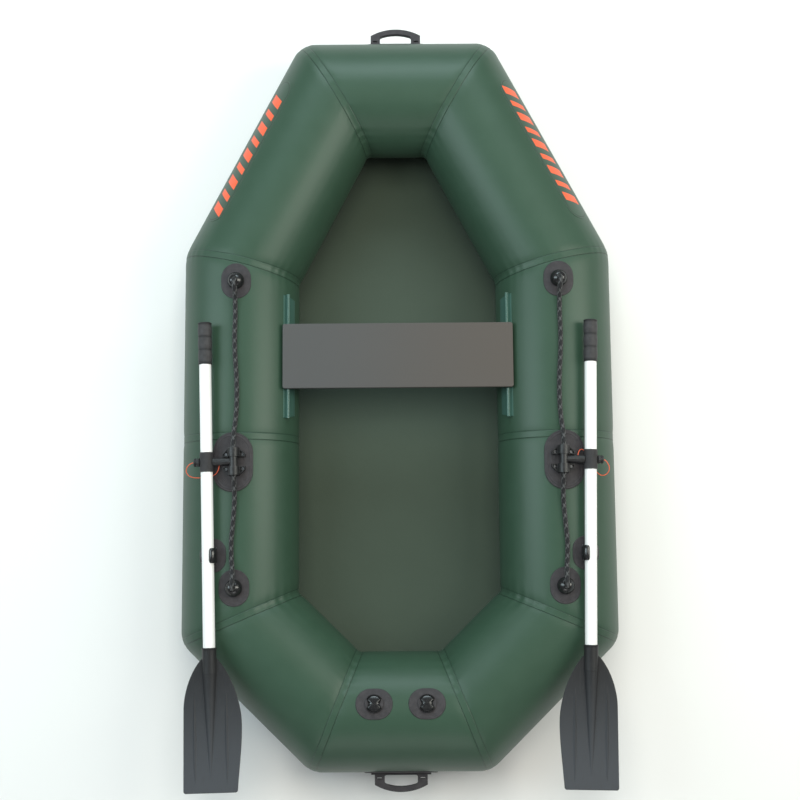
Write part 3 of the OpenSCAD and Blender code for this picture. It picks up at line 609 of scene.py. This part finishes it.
def patch(name, spot, outward, width, length, thick, lean=0.0, relief=None, rows=60):
    """A pad on a tube: its outline drawn in from the edge to the middle, and back beneath. The
    edge is a quarter round; relief adds a height for each distance from the edge. The marks tell
    how far in from the edge, across the pad and along it each point is."""
    inset = np.linspace(0, 1, rows) ** 1.25 * width / 2
    across, along = oblong(width, length, inset)
    arc = across + math.radians(lean) * tube_r
    edge = min(thick, 0.0025)
    height = thick - edge + edge * quarter(inset / edge)
    height = (height + (relief(inset) if relief else 0.0))[:, None] * np.ones_like(across)
    top = on_tube(spot, outward, arc, along, height)
    under = on_tube(spot, outward, arc, along, pad_sink + 0 * height)
    rings = np.concatenate([top[::-1], under])
    depth = np.concatenate([inset[::-1], 0 * inset])[:, None]
    return skin(name, rings, ends="point", crease=50, inset=np.broadcast_to(depth, rings.shape[:2]),
                across=np.concatenate([across[::-1], across]), along=np.concatenate([along[::-1], along]))


def fine_rings(inset, reach=0.021):
    """Low rings, 3.3 mm apart, that fade in from the edge and out again at reach from it."""
    fade = np.clip((inset - 0.002) / 0.002, 0, 1) * np.clip((reach - inset) / 0.004, 0, 1)
    return 0.00022 * fade * np.cos(2 * np.pi * inset / 0.0033)


def rubber_recipe(place):
    """Black rubber, bloomed to a warm grey and paler where it is rubbed."""
    bloom = place.grain(0.012, 4)
    pebble = place.cells(0.0011)
    grey = bloom.rise(0.3, 0.72).blend((0.040, 0.038, 0.042, 1), (0.056, 0.052, 0.057, 1))
    return {
        "Base Color": (pebble.rise(0.3, 0.8) * 0.3).blend(grey, (0.030, 0.027, 0.028, 1)),
        "Roughness": 0.44 + 0.2 * bloom,
        "relief": 0.00006 * pebble + 0.00006 * place.grain(0.0009, 3),
    }


rubber_look = finish("moulded_rubber", rubber_recipe, Specular_IOR_Level=0.25)
patch_t = 0.002
anchor_ys = {"fore": 0.283, "aft": -0.490}
clip_y, clip_lean = -0.410, 20.0
for side, sign in both_sides:
    for name, y, width, length, lean, node in (
            ("anchor_pad_fore", anchor_ys["fore"], 0.077, 0.092, 0.0, "rope_anchor_patches"),
            ("anchor_pad_aft", anchor_ys["aft"], 0.077, 0.092, 0.0, "rope_anchor_patches"),
            ("clip_pad", clip_y, 0.066, 0.084, clip_lean, "clip_patches")):
        pad = patch(f"{name}_{side}", (sign * side_x, y, tube_z), (sign, 0.0, 0.0),
                    width, length, patch_t, lean=lean, relief=fine_rings)
        fit(pad, "hull", rubber_look, node)
for place_name, sign in (("bow", 1), ("stern", -1)):
    pad = patch(f"handle_pad_{place_name}", (0.0, sign * end_y, tube_z), (0.0, sign, 0.0),
                0.088, 0.190, patch_t, lean=90.0, relief=fine_rings)
    fit(pad, "hull", rubber_look, "handle_patches")


# ---- Bow strips --------
# A long round-ended strip of the hull's fabric is welded high on each bow quarter. A groove
# runs just inside its edge, and slanting orange bars are printed along it.

strip_w, strip_l, strip_t = 0.080, 0.426, 0.0006
strip_lean, strip_shift, bar_slant, bar_pitch = 51.5, 0.015, 0.42, 0.0405


def strip_recipe(place):
    """The hull's fabric with the groove and the bars, placed by the strip's own marks; the groove is sunk
    and also painted dark, as painted shade.
    """
    made = fabric_recipe(place)
    along, across, inset = place.mark("along"), place.mark("across"), place.mark("inset")
    lean = along + bar_slant * across
    slant = lean * (2 * math.pi / bar_pitch)
    bars = (slant.wave() + 0.45 * (slant * 0.5 + 0.6).wave()).rise(-0.12, -0.02)
    inside = 1 - abs(across + 0.0025).rise(0.0245, 0.0253)
    ends = 1 - abs(lean - 0.006).rise(0.1810, 0.1812)
    printed = bars * inside * ends
    groove = 1 - abs(inset - 0.0045).rise(0.0004, 0.0016)
    ink = printed.blend(made["Base Color"], (0.86, 0.105, 0.030, 1))
    # painted shade: the groove's colour goes near black.
    made["Base Color"] = (groove * 0.8).blend(ink, (0.004, 0.012, 0.007, 1))
    made["relief"] = made["relief"] - 0.0004 * groove + 0.00008 * printed
    return made


strip_look = finish("printed_strip", strip_recipe, Specular_IOR_Level=0.6)
bow_corner, shoulder = ring[0], ring[1]
for side, sign in both_sides:
    ahead = unit(shoulder - bow_corner)
    middle = (bow_corner + shoulder) / 2 - ahead * strip_shift
    strip = patch(f"bow_strip_{side}", (sign * middle[0], middle[1], tube_z),
                  (sign * -ahead[1], ahead[0], 0.0), strip_w, strip_l, strip_t,
                  lean=strip_lean, rows=40)
    fit(strip, "hull", strip_look, "bow_stripes", slot="hull_fabric")


# ---- Rope anchors --------
# A glossy moulded dome on each anchor pad. The rope goes over its rim, into a slot that ends
# at its middle, and a narrow split runs on from there to the far rim.


def plastic_recipe(place):
    """Black nylon with a satin skin: a soft mottle, and fine spark texture from the mould."""
    mottle = place.grain(0.008, 3)
    spark = place.grain(0.0007, 2)
    return {
        "Base Color": mottle.rise(0.3, 0.7).blend((0.008, 0.008, 0.009, 1), (0.014, 0.014, 0.015, 1)),
        "Roughness": 0.18 + 0.12 * mottle,
        "relief": 0.00003 * spark,
    }


def satin_recipe(place):
    """The same nylon, rubbed dull, and a little paler in patches."""
    made = plastic_recipe(place)
    rub = place.grain(0.005, 4)
    made["Base Color"] = rub.rise(0.35, 0.75).blend((0.014, 0.014, 0.015, 1), (0.030, 0.030, 0.032, 1))
    made["Roughness"] = 0.36 + 0.16 * rub
    return made


plastic_look = finish("moulded_plastic", plastic_recipe, Specular_IOR_Level=0.75)
satin_look = finish("satin_plastic", satin_recipe, Specular_IOR_Level=0.5)
dome_r, ball_r, ball_z, dome_foot = 0.0215, 0.0217, 0.3065, 0.3030
slot_z, slot_r, slot_x, split_half = 0.3225, 0.0066, 0.001, 0.0014


def dome(name, sign, y, toward):
    """Rings from the top outwards: a ball's cap, cut down where the slot and the split are, then
    an upright rim, and a hidden base. toward is the way along the boat that the slot opens."""
    radius = np.linspace(0, 1, 64)[:, None] * dome_r
    turn = full_turn(120)[None, :]
    x, away = radius * np.cos(turn), radius * np.sin(turn)
    cap = ball_z + np.sqrt(ball_r**2 - radius**2) + 0 * turn
    aside = x - slot_x * sign
    slot = np.clip((slot_r - np.hypot(aside, np.minimum(away + 0.0025, 0))) / 0.0006, 0, 1)
    split = np.clip((split_half - np.abs(aside)) / 0.0007, 0, 1) * (away < 0)
    cap = cap - np.maximum(0, cap - slot_z) * slot - 0.0015 * split * (1 - slot)
    top = np.dstack([x, away, cap])
    rim = top[-1:] * [1.0, 1.0, 0.0] + [0.0, 0.0, dome_foot]
    base = rim * [0.4, 0.4, 1.0]
    rings = np.concatenate([top, rim, base, rim * [0.0, 0.0, 1.0]])
    rings = rings * [1.0, toward, 1.0] + [sign * rowlock_x, y, 0.0]
    return skin(name, rings, ends="point", crease=38)


for side, sign in both_sides:
    for place_name, y in anchor_ys.items():
        anchor = dome(f"rope_dome_{place_name}_{side}", sign, y, -1 if y > rowlock_y else 1)
        fit(anchor, "hull", plastic_look, "rope_anchors")


# ---- Rowlocks --------
# Each rowlock is a thick oblong pad with two bearing blocks screwed on. A hollow crossbar turns
# in them, and its stem ends in the pin that the oar hangs on, with a round nut outboard.


def rowlock_relief(inset):
    """Fine rings near the edge, a raised lip inside them, and more rings inside the lip."""
    return 0.0009 * hump(inset, 0.0082, 0.0014) + fine_rings(inset, 0.034)


def softened(node, name, width, segments=2):
    """A copy of a moulding with its edges rounded: its doubles are merged and its flats joined,
    then a bevel of that width goes along every edge."""
    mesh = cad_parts[node].data.copy()
    work = bmesh.new()
    work.from_mesh(mesh)
    bmesh.ops.remove_doubles(work, verts=work.verts, dist=2e-6)
    bmesh.ops.dissolve_limit(work, angle_limit=math.radians(1.5), verts=work.verts, edges=work.edges)
    work.to_mesh(mesh)
    work.free()
    piece = placed(name, mesh, 33)
    bevel = piece.modifiers.new("rounded edges", "BEVEL")
    bevel.width, bevel.segments = width, segments
    bevel.limit_method, bevel.angle_limit = "ANGLE", math.radians(33)
    bevel.harden_normals = True
    return piece


def steel_recipe(place):
    """Bright steel with fine scratches."""
    scratch = place.grain(0.002, 4, stretch=(1.0, 6.0, 1.0))
    return {
        "Base Color": scratch.blend((0.20, 0.20, 0.21, 1), (0.38, 0.38, 0.39, 1)),
        "Roughness": 0.32 + 0.2 * scratch,
        "relief": 0.00002 * scratch,
    }


steel_look = finish("steel", steel_recipe, Metallic=1.0)
for side, sign in both_sides:
    pad = patch(f"rowlock_pad_{side}", (sign * side_x, rowlock_y, tube_z), (sign, 0.0, 0.0),
                0.102, 0.150, 0.004, lean=2.0, relief=rowlock_relief, rows=90)
    fit(pad, "hull", rubber_look, "rowlock_patches")
    for node, name, body, width, segments in (
            ("rowlock_bearings", "bearing_blocks", "hull", 0.0014, 3),
            ("swivel", "swivel_tee", f"swivel_{side}", 0.0008, 2),
            ("swivel_nut", "pin_nut", f"swivel_{side}", 0.0008, 2)):
        piece = softened(f"{node}_{side}", f"{name}_{side}", width, segments)
        fit(piece, body, satin_look, f"{node}_{side}", slot="moulded_plastic")


# ---- Paddle clips --------
# An elastic nylon C, moulded on a short foot, holds the shaft of the stowed oar. The foot is
# glued to a pad on the side tube, and the mouth of the C faces up and outboard.

clip_z, clip_r_in, clip_w = 0.318, 0.0153, 0.037
foot_z, foot_h = 0.001, 0.0125
clip_mouth, half_mouth = math.radians(38), math.radians(55)


def clip_points(around_shaft, along, radius, sign):
    """Points round the stowed shaft's axis: an angle from the top, outboard, and a radius."""
    x = oar_out + (clip_y - rowlock_y) * math.tan(toe) + radius * np.sin(around_shaft)
    z = clip_z + radius * np.cos(around_shaft)
    return np.stack([sign * (rowlock_x + x), clip_y + along, z], -1)


def blunt(wave, power):
    """A wave from -1 to 1 with its tops flattened: it keeps its sign, and is raised to power."""
    return np.sign(wave) * np.abs(wave) ** power


def clip_ring(sign):
    """A C round the shaft: a flat oval section, thinner at the lips, carried from one lip to the
    other. The section is a superellipse, so that the C is a rounded barrel."""
    swing = np.linspace(clip_mouth + half_mouth, clip_mouth + 2 * np.pi - half_mouth, 70)[:, None]
    turn = full_turn(56)[None, :]
    full = 0.08 + 0.92 * quarter(np.minimum(swing - swing[0], swing[-1] - swing) / 0.3)
    wall = (0.0042 + 0.003 * hump(swing, swing[-1] - 0.5, 0.5)) * full
    out, wide = blunt(np.cos(turn), 0.8), blunt(np.sin(turn), 0.5)
    along = clip_w / 2 * (0.6 + 0.4 * full) * wide
    crown = 0.0022 * (1 - wide**2) * (out > 0)
    radius = clip_r_in + wall / 2 * (1 + out) + crown * full
    return clip_points(swing + 0 * turn, along, radius, sign)


def clip_foot(sign):
    """A block from the pad up to the C, with rounded corners, spread at its foot."""
    turn = full_turn(64)[None, :]
    rise = np.linspace(0, 1, 14)[:, None]
    spread = 1 + 0.35 * (1 - rise) ** 3
    across = 0.0085 * spread * blunt(np.cos(turn), 0.5)
    along = 0.0165 * spread * blunt(np.sin(turn), 0.5)
    lean = math.radians(clip_lean) * tube_r
    return on_tube((sign * side_x, clip_y, tube_z), (sign, 0.0, 0.0), lean + across, along,
                   foot_z + foot_h * rise + 0 * turn)


for side, sign in both_sides:
    for name, surface in (("shaft_clip", clip_ring(sign)), ("clip_foot", clip_foot(sign))):
        piece = skin(f"{name}_{side}", surface, crease=60)
        fit(piece, "hull", plastic_look, f"paddle_clip_{side}")


# ---- Handles --------
# A grab handle of moulded rubber stands at the bow, and another at the stern. A wide foot at
# each of its ends is glued to the pad on the tube.

for place_name in ("bow", "stern"):
    grab = softened(f"{place_name}_handle", f"grab_handle_{place_name}", 0.0035, 3)
    fit(grab, "hull", rubber_look, f"{place_name}_handle")


# ---- Valves --------
# Two inflation valves sit on the stern tube. Each has a rubber body, clamped to its pad by its
# ring, and a push-and-turn cap with a glossy button and a hollow on both sides; the orange
# poppet is inside.

valve_x, valve_tilt = 0.065, math.radians(12.5)


def on_valve(points, sign):
    """Points from a valve's own frame, with Z out of the tube, to their place on the boat."""
    axis = np.array([0.0, math.sin(valve_tilt), math.cos(valve_tilt)])
    forward = np.array([0.0, math.cos(valve_tilt), -math.sin(valve_tilt)])
    x, y, z = np.moveaxis(points, -1, 0)
    spot = np.array([sign * valve_x, -end_y, tube_z])
    across = np.array([sign, 0.0, 0.0])
    return spot + x[..., None] * across + y[..., None] * forward + (tube_r + z)[..., None] * axis


def turned(profile, sides=96):
    """A profile of radius and height, spun round Z."""
    turn = full_turn(sides)
    radius, height = np.array(profile, dtype=float).T[:, :, None]
    return np.dstack([radius * np.cos(turn), radius * np.sin(turn), height + 0 * turn])


cap_r, hollow_depth, arc_end, button_share = 0.0224, 0.0052, math.radians(32), 0.86
ring_profile = np.array([
    [14, -24], [14, 2], [22.6, 1.4], [22.9, 3.2], [22.6, 4.4], [21.8, 5.0], [19.0, 5.0],
    [12.6, 4.8], [12, 4.2], [12, -15], [10, -17], [8, -17.5], [8, -22], [10.4, -22.4], [10.5, -24],
]) / 1000


def cap_surface():
    """Rings of the cap's outline, drawn in to its middle: two arcs joined by hollow sides. A lip
    runs round the top, and a crowned button fills it."""
    turn = full_turn(180)
    from_side = np.arctan2(np.abs(np.sin(turn)), np.abs(np.cos(turn)))
    bite = hollow_depth * np.cos(np.minimum(from_side / arc_end, 1) * np.pi / 2)
    chord = (cap_r * math.cos(arc_end) - bite) / np.maximum(np.cos(from_side), 0.5)
    outline = np.where(from_side < arc_end, chord, cap_r)
    share = np.concatenate([np.linspace(0, 0.94, 48), [0.955, 0.97, 0.985, 0.995, 1.0, 1.0]])[:, None]
    x, y = share * outline * np.cos(turn), share * outline * np.sin(turn)
    lip = 0.0074 * quarter((1 - share) / 0.05)
    button = 0.0072 + 0.0042 * np.sqrt(np.maximum(1 - (share / button_share) ** 2, 0))
    groove = 0.0016 * hump(share, button_share, 0.022)
    crown = np.where(share < button_share, button, np.maximum(lip, 0.0053)) - groove + 0 * turn
    crown[-1] = 0.0053
    top = np.dstack([x, y, crown])
    skirt = np.array([[11.6, 5.2], [11.6, -3], [9.5, -3], [9.5, 2], [0, 2]]) / 1000
    return np.concatenate([top, turned(skirt, 180)])


for side, sign in both_sides:
    pad = patch(f"valve_pad_{side}", (sign * valve_x, -end_y, tube_z), (0.0, -1.0, 0.0), 0.076, 0.092,
                patch_t, lean=-math.degrees(valve_tilt), relief=fine_rings)
    fit(pad, "hull", rubber_look, "valve_patches")
    rings = on_valve(turned(ring_profile), sign)
    body = skin(f"valve_ring_{side}", rings, ends="joined", crease=45)
    fit(body, "hull", rubber_look, "valve_bodies")
    cap = skin(f"valve_top_{side}", on_valve(cap_surface(), sign), ends="point", crease=45)
    fit(cap, f"cap_{side}", plastic_look, f"valve_cap_{side}")


# ---- Seat --------
# A board with a dark laminate face hangs on two channels, which slide along keder rails. Each
# rail is a round bead in a strip of hull fabric, glued to the tube and cut slanting at its ends.


def board_recipe(place):
    """Dark brown-grey laminate with a fine pebble and faint clouds, warmer in tone to starboard."""
    cloud = place.grain(0.11, 5, stretch=(0.5, 1.0, 1.0))
    pebble = place.cells(0.0016)
    left = place.part(0).rise(-0.25, 0.3)
    face = left.blend((0.074, 0.074, 0.075, 1), (0.082, 0.071, 0.064, 1))
    return {
        "Base Color": (cloud.rise(0.35, 0.75) * 0.15).blend(face, (0.080, 0.074, 0.071, 1)),
        "Roughness": 0.46 + 0.14 * cloud,
        "relief": 0.00005 * pebble,
    }


def channel_recipe(place):
    """Extruded aluminium, anodised dark: fine lines run along it."""
    line = place.grain(0.0009, 2, stretch=(1.0, 0.02, 1.0))
    return {
        "Base Color": line.blend((0.030, 0.030, 0.032, 1), (0.060, 0.060, 0.062, 1)),
        "Roughness": 0.3 + 0.16 * line,
        "relief": 0.00002 * line,
    }


board_look = finish("seat_board", board_recipe, Specular_IOR_Level=0.4)
channel_look = finish("channel", channel_recipe, Metallic=0.7)
board = softened("seat_board", "seat_plank", 0.0022, 4)
fit(board, "seat", board_look, "seat_board")
channels = softened("seat_channels", "seat_slides", 0.0005)
fit(channels, "seat", channel_look, "seat_channels")
rail_l, rail_y, bead_r, bead_out = 0.321, 0.098, 0.004, 0.010
bead_x, bead_z = 0.2809, 0.2455
flange_in, flange_out, end_slant = -0.044, 0.008, 0.173
rail_lean = math.atan2(bead_x - side_x, bead_z - tube_z) * tube_r


def rail_strip(sign):
    """The glued flange: slices across it, over the top and back beneath. Its ends are cut
    slanting, so that its length grows evenly across it."""
    over = np.linspace(flange_in, flange_out, 25)
    middle, half_w = (flange_in + flange_out) / 2, (flange_out - flange_in) / 2
    top = 0.0021 - 0.0012 * np.abs((over - middle) / half_w) ** 4
    across = np.concatenate([over, over[::-1]])
    height = np.concatenate([top, -0.0003 + 0 * top])
    half = rail_l / 2 - 0.0024 + end_slant * across
    along = np.linspace(-1, 1, 60)[:, None] * half
    return on_tube((sign * side_x, rail_y, tube_z), (sign, 0.0, 0.0),
                   rail_lean + across + 0 * along, along, height + 0 * along)


def rail_bead(sign):
    """The bead and its web: a keyhole outline carried along the rail."""
    turn = np.linspace(math.radians(-60), math.radians(240), 26)
    across = np.concatenate([[0.00125], bead_r * np.cos(turn), [-0.00125]])
    height = np.concatenate([[0.0015], bead_out + bead_r * np.sin(turn), [0.0015]])
    along = np.linspace(-rail_l / 2, rail_l / 2, 40)[:, None]
    return on_tube((sign * side_x, rail_y, tube_z), (sign, 0.0, 0.0),
                   rail_lean + across + 0 * along, along + 0 * across, height + 0 * along)


def rail_recipe(place):
    """A glossier coat than the tubes', of a bluer green, with a faint grain."""
    fine = place.grain(0.0012, 3)
    return {
        "Base Color": place.grain(0.04, 3).blend((0.040, 0.098, 0.080, 1), (0.050, 0.115, 0.095, 1)),
        "Roughness": 0.30 + 0.08 * fine,
        "relief": 0.00004 * fine,
    }


rail_look = finish("keder_rail", rail_recipe, Specular_IOR_Level=0.6)
for side, sign in both_sides:
    for part, surface in (("flange", rail_strip(sign)), ("bead", rail_bead(sign))):
        rail = skin(f"rail_{part}_{side}", surface, crease=45)
        fit(rail, "hull", rail_look, f"seat_rail_{side}", slot="hull_fabric")


# ---- Oars --------
# White lacquered aluminium shafts. A moulded grip is pushed on one end and a moulded blade on
# the other; a ribbed sleeve goes round the shaft where the pin passes through it.

shaft_r, shaft_t, shaft_back, shaft_front = 0.015, 0.0015, -0.526, 0.3475
oar_z, sleeve_l, sleeve_r = 0.318, 0.049, 0.017
grip_reach, grip_l, grip_r, swell_h = 0.3525, 0.107, 0.0162, 0.0014
collar_start, collar_end, collar_r = -0.454, -0.516, 0.0175
button_y, button_lean, well_r, well_depth = -0.512, math.radians(19), 0.0034, 0.0020
blade_start, blade_reach, blade_t, tip_r = -0.478, 0.800, 0.004, 0.006
spine_end, rib_end, rib_l, rib_h, rib_w = -0.775, -0.785, 0.229, 0.0036, 0.0040


def on_oar(points, sign):
    """Points from the stowed oar's own frame, with Y along it and the pin at 0, to the boat."""
    return from_rowlock(points + np.array([oar_out, 0.0, oar_z]), sign)


def along_oar(profile, sides=96):
    """A profile of radius and place along the oar, spun round the oar."""
    return turned(profile, sides)[..., [1, 2, 0]]


def shaft_recipe(place):
    """Gloss white lacquer with faint streaks along the tube and a few dull rubs."""
    streak = place.grain(0.004, 3, stretch=(1.0, 0.03, 1.0))
    rub = place.grain(0.018, 5).rise(0.62, 0.78)
    return {
        "Base Color": (streak * 0.25).blend((0.86, 0.86, 0.86, 1), (0.72, 0.73, 0.73, 1)),
        "Roughness": 0.2 + 0.22 * rub + 0.06 * streak,
        "relief": 0.00001 * streak,
    }


def blade_recipe(place):
    """Black polypropylene: a cool grey bloom, scuffed paler to the tip, with fine mould lines
    across it, and painted shade, near black, in the button's well."""
    cloud = place.grain(0.035, 5)
    scuff = place.grain(0.004, 4, stretch=(1.0, 0.15, 1.0)).rise(0.45, 0.8)
    line = (place.part(1) * (2 * math.pi / 0.0034)).wave()
    tip = (-1 * place.part(1)).rise(0.62, 0.98)
    grey = tip.blend((0.017, 0.017, 0.018, 1), (0.062, 0.067, 0.076, 1))
    scuffed = (scuff * 0.3).blend(grey, (0.050, 0.050, 0.052, 1))
    return {
        # painted shade: the sunk well round the snap button is painted near black.
        "Base Color": place.mark("well").blend(scuffed, (0.001, 0.001, 0.001, 1)),
        "Roughness": 0.36 + 0.2 * cloud,
        "relief": 0.00003 * line + 0.00006 * place.grain(0.002, 3) + 0.0003 * cloud,
    }


def grip_recipe(place):
    """Soft black sleeve, finely stippled, with painted shade: darker where its surface lies deeper."""
    stipple = place.cells(0.0014)
    cloud = place.grain(0.01, 3)
    worn = cloud.rise(0.3, 0.7).blend((0.038, 0.037, 0.039, 1), (0.052, 0.051, 0.054, 1))
    return {
        # painted shade: darker by the depth mark, in the valleys between swells and ribs.
        "Base Color": (0.75 * place.mark("depth").rise(0.3, 1.0)).blend(worn, (0.012, 0.012, 0.013, 1)),
        "Roughness": 0.5 + 0.15 * cloud,
        "relief": 0.00008 * stipple,
    }


def grip_profile():
    """Three soft swells between two rims, with finger rings in them; closed over the end. The
    second result is each ring's depth below the swells, from 0 to 1, which the grip's material
    paints darker as painted shade."""
    share = np.linspace(0.0, 1.0, 160)
    swell = swell_h * np.abs(np.sin(3 * np.pi * np.clip((share - 0.04) / 0.92, 0, 1))) ** 0.7
    rings = 0.00012 * np.cos(2 * np.pi * share * grip_l / 0.0042)
    rims = 0.0015 * (hump(share, 0.02, 0.015) + hump(share, 0.97, 0.018))
    radius = grip_r + swell + rings + rims
    radius = radius - 0.003 * (1 - quarter((1 - share) / 0.015))
    back_end = grip_reach - grip_l
    body = np.column_stack([radius, back_end + share * grip_l])
    inner = [[0.0, grip_reach - 0.004], [shaft_r, grip_reach - 0.004], [shaft_r, back_end]]
    depth = np.concatenate([[0, 0, 0], 1 - swell / swell_h, [0]])
    return np.concatenate([inner, body, [[0.0, grip_reach]]]), depth


def sleeve_profile():
    """Fine ribs round the sleeve, between a flat rim at each end; and the depth between them, which the
    grip's material paints darker as painted shade.
    """
    share = np.linspace(-1, 1, 260)
    ribbed = np.clip((0.88 - np.abs(share)) / 0.03, 0, 1)
    wave = 0.5 + 0.5 * np.cos(np.pi * share * sleeve_l / 0.0026)
    radius = sleeve_r - 0.0005 * ribbed * wave ** 2
    outside = np.column_stack([radius, share * sleeve_l / 2])
    depth = np.concatenate([ribbed * wave ** 2, [0, 0]])
    return np.concatenate([outside, [[shaft_r + 0.00005, sleeve_l / 2],
                                     [shaft_r + 0.00005, -sleeve_l / 2]]]), depth


def cuff_surface():
    """The blade's cuff, with a rim at its mouth and a round well where the button looks out.
    Inside the well's radius, measured along the cuff and round it, the surface sinks.
    The second result is how far it has sunk, from 0 to 1; the blade's material paints it near black, as
    painted shade."""
    rows = np.linspace(collar_start - 0.006, collar_end, 130)
    profile = np.concatenate([
        [[shaft_r, collar_start], [0.0178, collar_start], [0.0185, collar_start - 0.0006],
         [0.0185, collar_start - 0.0036], [0.0177, collar_start - 0.0044]],
        np.column_stack([collar_r + 0 * rows, rows]),
        [[0.0165, collar_end - 0.001], [shaft_r, collar_end - 0.001]],
    ])
    rings = along_oar(profile, 260)
    x, y, z = np.moveaxis(rings, -1, 0)
    away = np.hypot((np.arctan2(x, z) - button_lean) * collar_r, y - button_y)
    sunk = np.clip((well_r - away) / 0.0004, 0, 1) * (np.hypot(x, z) > 0.0174)
    narrow = 1 - well_depth * sunk / collar_r
    return rings * np.dstack([narrow, 1 + 0 * narrow, narrow]), sunk


def blade_edge(*curves):
    """Points on cubic curves, each given by its ends and handles in millimetres."""
    t = np.linspace(0, 1, 24)[:, None]
    a, b, c, d = np.array(curves).transpose(1, 0, 2)[:, :, None] / 1000
    points = (1 - t) ** 3 * a + 3 * (1 - t) ** 2 * t * b + 3 * (1 - t) * t**2 * c + t**3 * d
    return points.reshape(-1, 2)


def blade_surface():
    """Slices across the blade, from the collar to the tip. Each goes over the top from one edge
    to the other and back beneath. The half thickness is a plate with round edges, joined with
    a tapering round spine and two slender ribs."""
    outer = blade_edge([[16, -478], [37, -496], [64.5, -548], [64.5, -606]],
                       [[64.5, -606], [64.5, -606], [67, -794], [67, -794]])
    inner = blade_edge([[-16, -478], [-40, -500], [-77, -570], [-77, -640]],
                       [[-77, -640], [-77, -690], [-70, -735], [-65, -794]])
    last = np.array([0.85, 0.7, 0.55, 0.4, 0.27, 0.16, 0.07, 0.02, 0.0]) * tip_r - blade_reach
    stations = np.concatenate([np.linspace(blade_start, tip_r - blade_reach, 190), last])
    corner = tip_r * (1 - quarter((stations + blade_reach) / tip_r))
    right_x = np.interp(-stations, -outer[:, 1], outer[:, 0]) - corner
    left_x = np.interp(-stations, -inner[:, 1], inner[:, 0]) + corner
    rim = 0.06 * (1 - np.cos(np.linspace(0, np.pi, 19)[:9]))
    share = np.concatenate([rim, np.linspace(rim[-1], 1 - rim[-1], 150)[1:-1], 1 - rim[::-1]])
    x = left_x[:, None] * (1 - share) + right_x[:, None] * share
    y = stations[:, None] + 0 * x
    from_edge = np.minimum(x - left_x[:, None], right_x[:, None] - x)
    from_edge = np.minimum(from_edge, np.maximum(y + blade_reach, 0.0) + 0.0003)
    plate = blade_t / 2 * quarter(from_edge / (blade_t / 2))
    taper = np.clip((collar_end - stations) / (collar_end + blade_reach), 0, 1)
    spine_r = ((collar_r - 0.0005) * (1 - taper) + 0.0003 * taper)[:, None]
    spine = np.sqrt(np.maximum(spine_r**2 - x**2, 0)) * np.clip((y - spine_end) / 0.004, 0, 1)
    swell = np.sin(np.pi * np.clip((y - rib_end) / rib_l, 0, 1))
    from_rib = np.minimum(np.abs(x + 0.040), np.abs(x - 0.038))
    ribs = rib_h * swell**0.7 * np.clip(1.1 - from_rib / (rib_w * swell**0.8 + 1e-6), 0, 1)
    half = np.maximum(plate + ribs, spine)
    top = np.dstack([x, y, half])
    under = np.dstack([x, y, -half])[:, ::-1]
    return np.concatenate([top, under[:, 1:-1]], 1)


shaft_look = finish("oar_white", shaft_recipe, Coat_Weight=0.3, Coat_Roughness=0.08)
blade_look = finish("blade_plastic", blade_recipe, Specular_IOR_Level=0.3)
grip_look = finish("oar_grip", grip_recipe, Specular_IOR_Level=0.3)
shaft_in = shaft_r - shaft_t
for side, sign in both_sides:
    body = f"oar_{side}"
    tube = along_oar([[shaft_r, shaft_back], [shaft_r, shaft_front],
                      [shaft_in, shaft_front], [shaft_in, shaft_back]])
    shaft = skin(f"shaft_{side}", on_oar(tube, sign), ends="joined", crease=40)
    fit(shaft, body, shaft_look, f"oar_shaft_{side}")
    for name, (profile, depth), ends in (("grip", grip_profile(), "point"),
                                         ("sleeve", sleeve_profile(), "joined")):
        rings = on_oar(along_oar(profile), sign)
        piece = skin(f"{name}_{side}", rings, ends=ends, crease=50,
                     depth=np.broadcast_to(depth[:, None], rings.shape[:2]))
        fit(piece, body, grip_look, f"oar_{name}_{side}", slot="moulded_plastic")
    surface, well = cuff_surface()
    cuff = skin(f"blade_cuff_{side}", on_oar(surface, sign), ends="joined", crease=50, well=well)
    fit(cuff, body, blade_look, f"oar_blade_{side}")
    surface = on_oar(blade_surface(), sign)
    blade = skin(f"blade_{side}", surface, ends="flat", crease=32, well=0 * surface[..., 0])
    fit(blade, body, blade_look, f"oar_blade_{side}")


# ---- Small parts --------
# Steel screws hold the bearings and the seat's channels. Black snap buttons and their leaf
# springs lock the blades, and the valves' orange poppets close on springs. The bulkheads part
# the air chambers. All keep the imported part's shape.

poppet_look = finish("valve_orange", lambda place: {
    "Base Color": place.grain(0.004).blend((0.72, 0.12, 0.04, 1), (0.84, 0.16, 0.06, 1)),
    "Roughness": 0.35 + 0.1 * place.grain(0.001),
})
black_steel_look = finish("black_steel", lambda place: {
    "Base Color": place.grain(0.003).blend((0.010, 0.010, 0.011, 1), (0.030, 0.030, 0.032, 1)),
    "Roughness": 0.35 + 0.15 * place.grain(0.001),
}, Metallic=1.0)
plain_looks = {"bulkheads": fabric_look, "rowlock_screws": steel_look, "seat_screws": steel_look}
side_looks = {"button_spring": steel_look, "valve_spring": steel_look,
              "snap_button": black_steel_look, "valve_poppet": poppet_look}
for side, _ in both_sides:
    plain_looks.update({f"{node}_{side}": look for node, look in side_looks.items()})
for node, look in plain_looks.items():
    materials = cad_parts[node].data.materials
    materials.clear()
    materials.append(look)
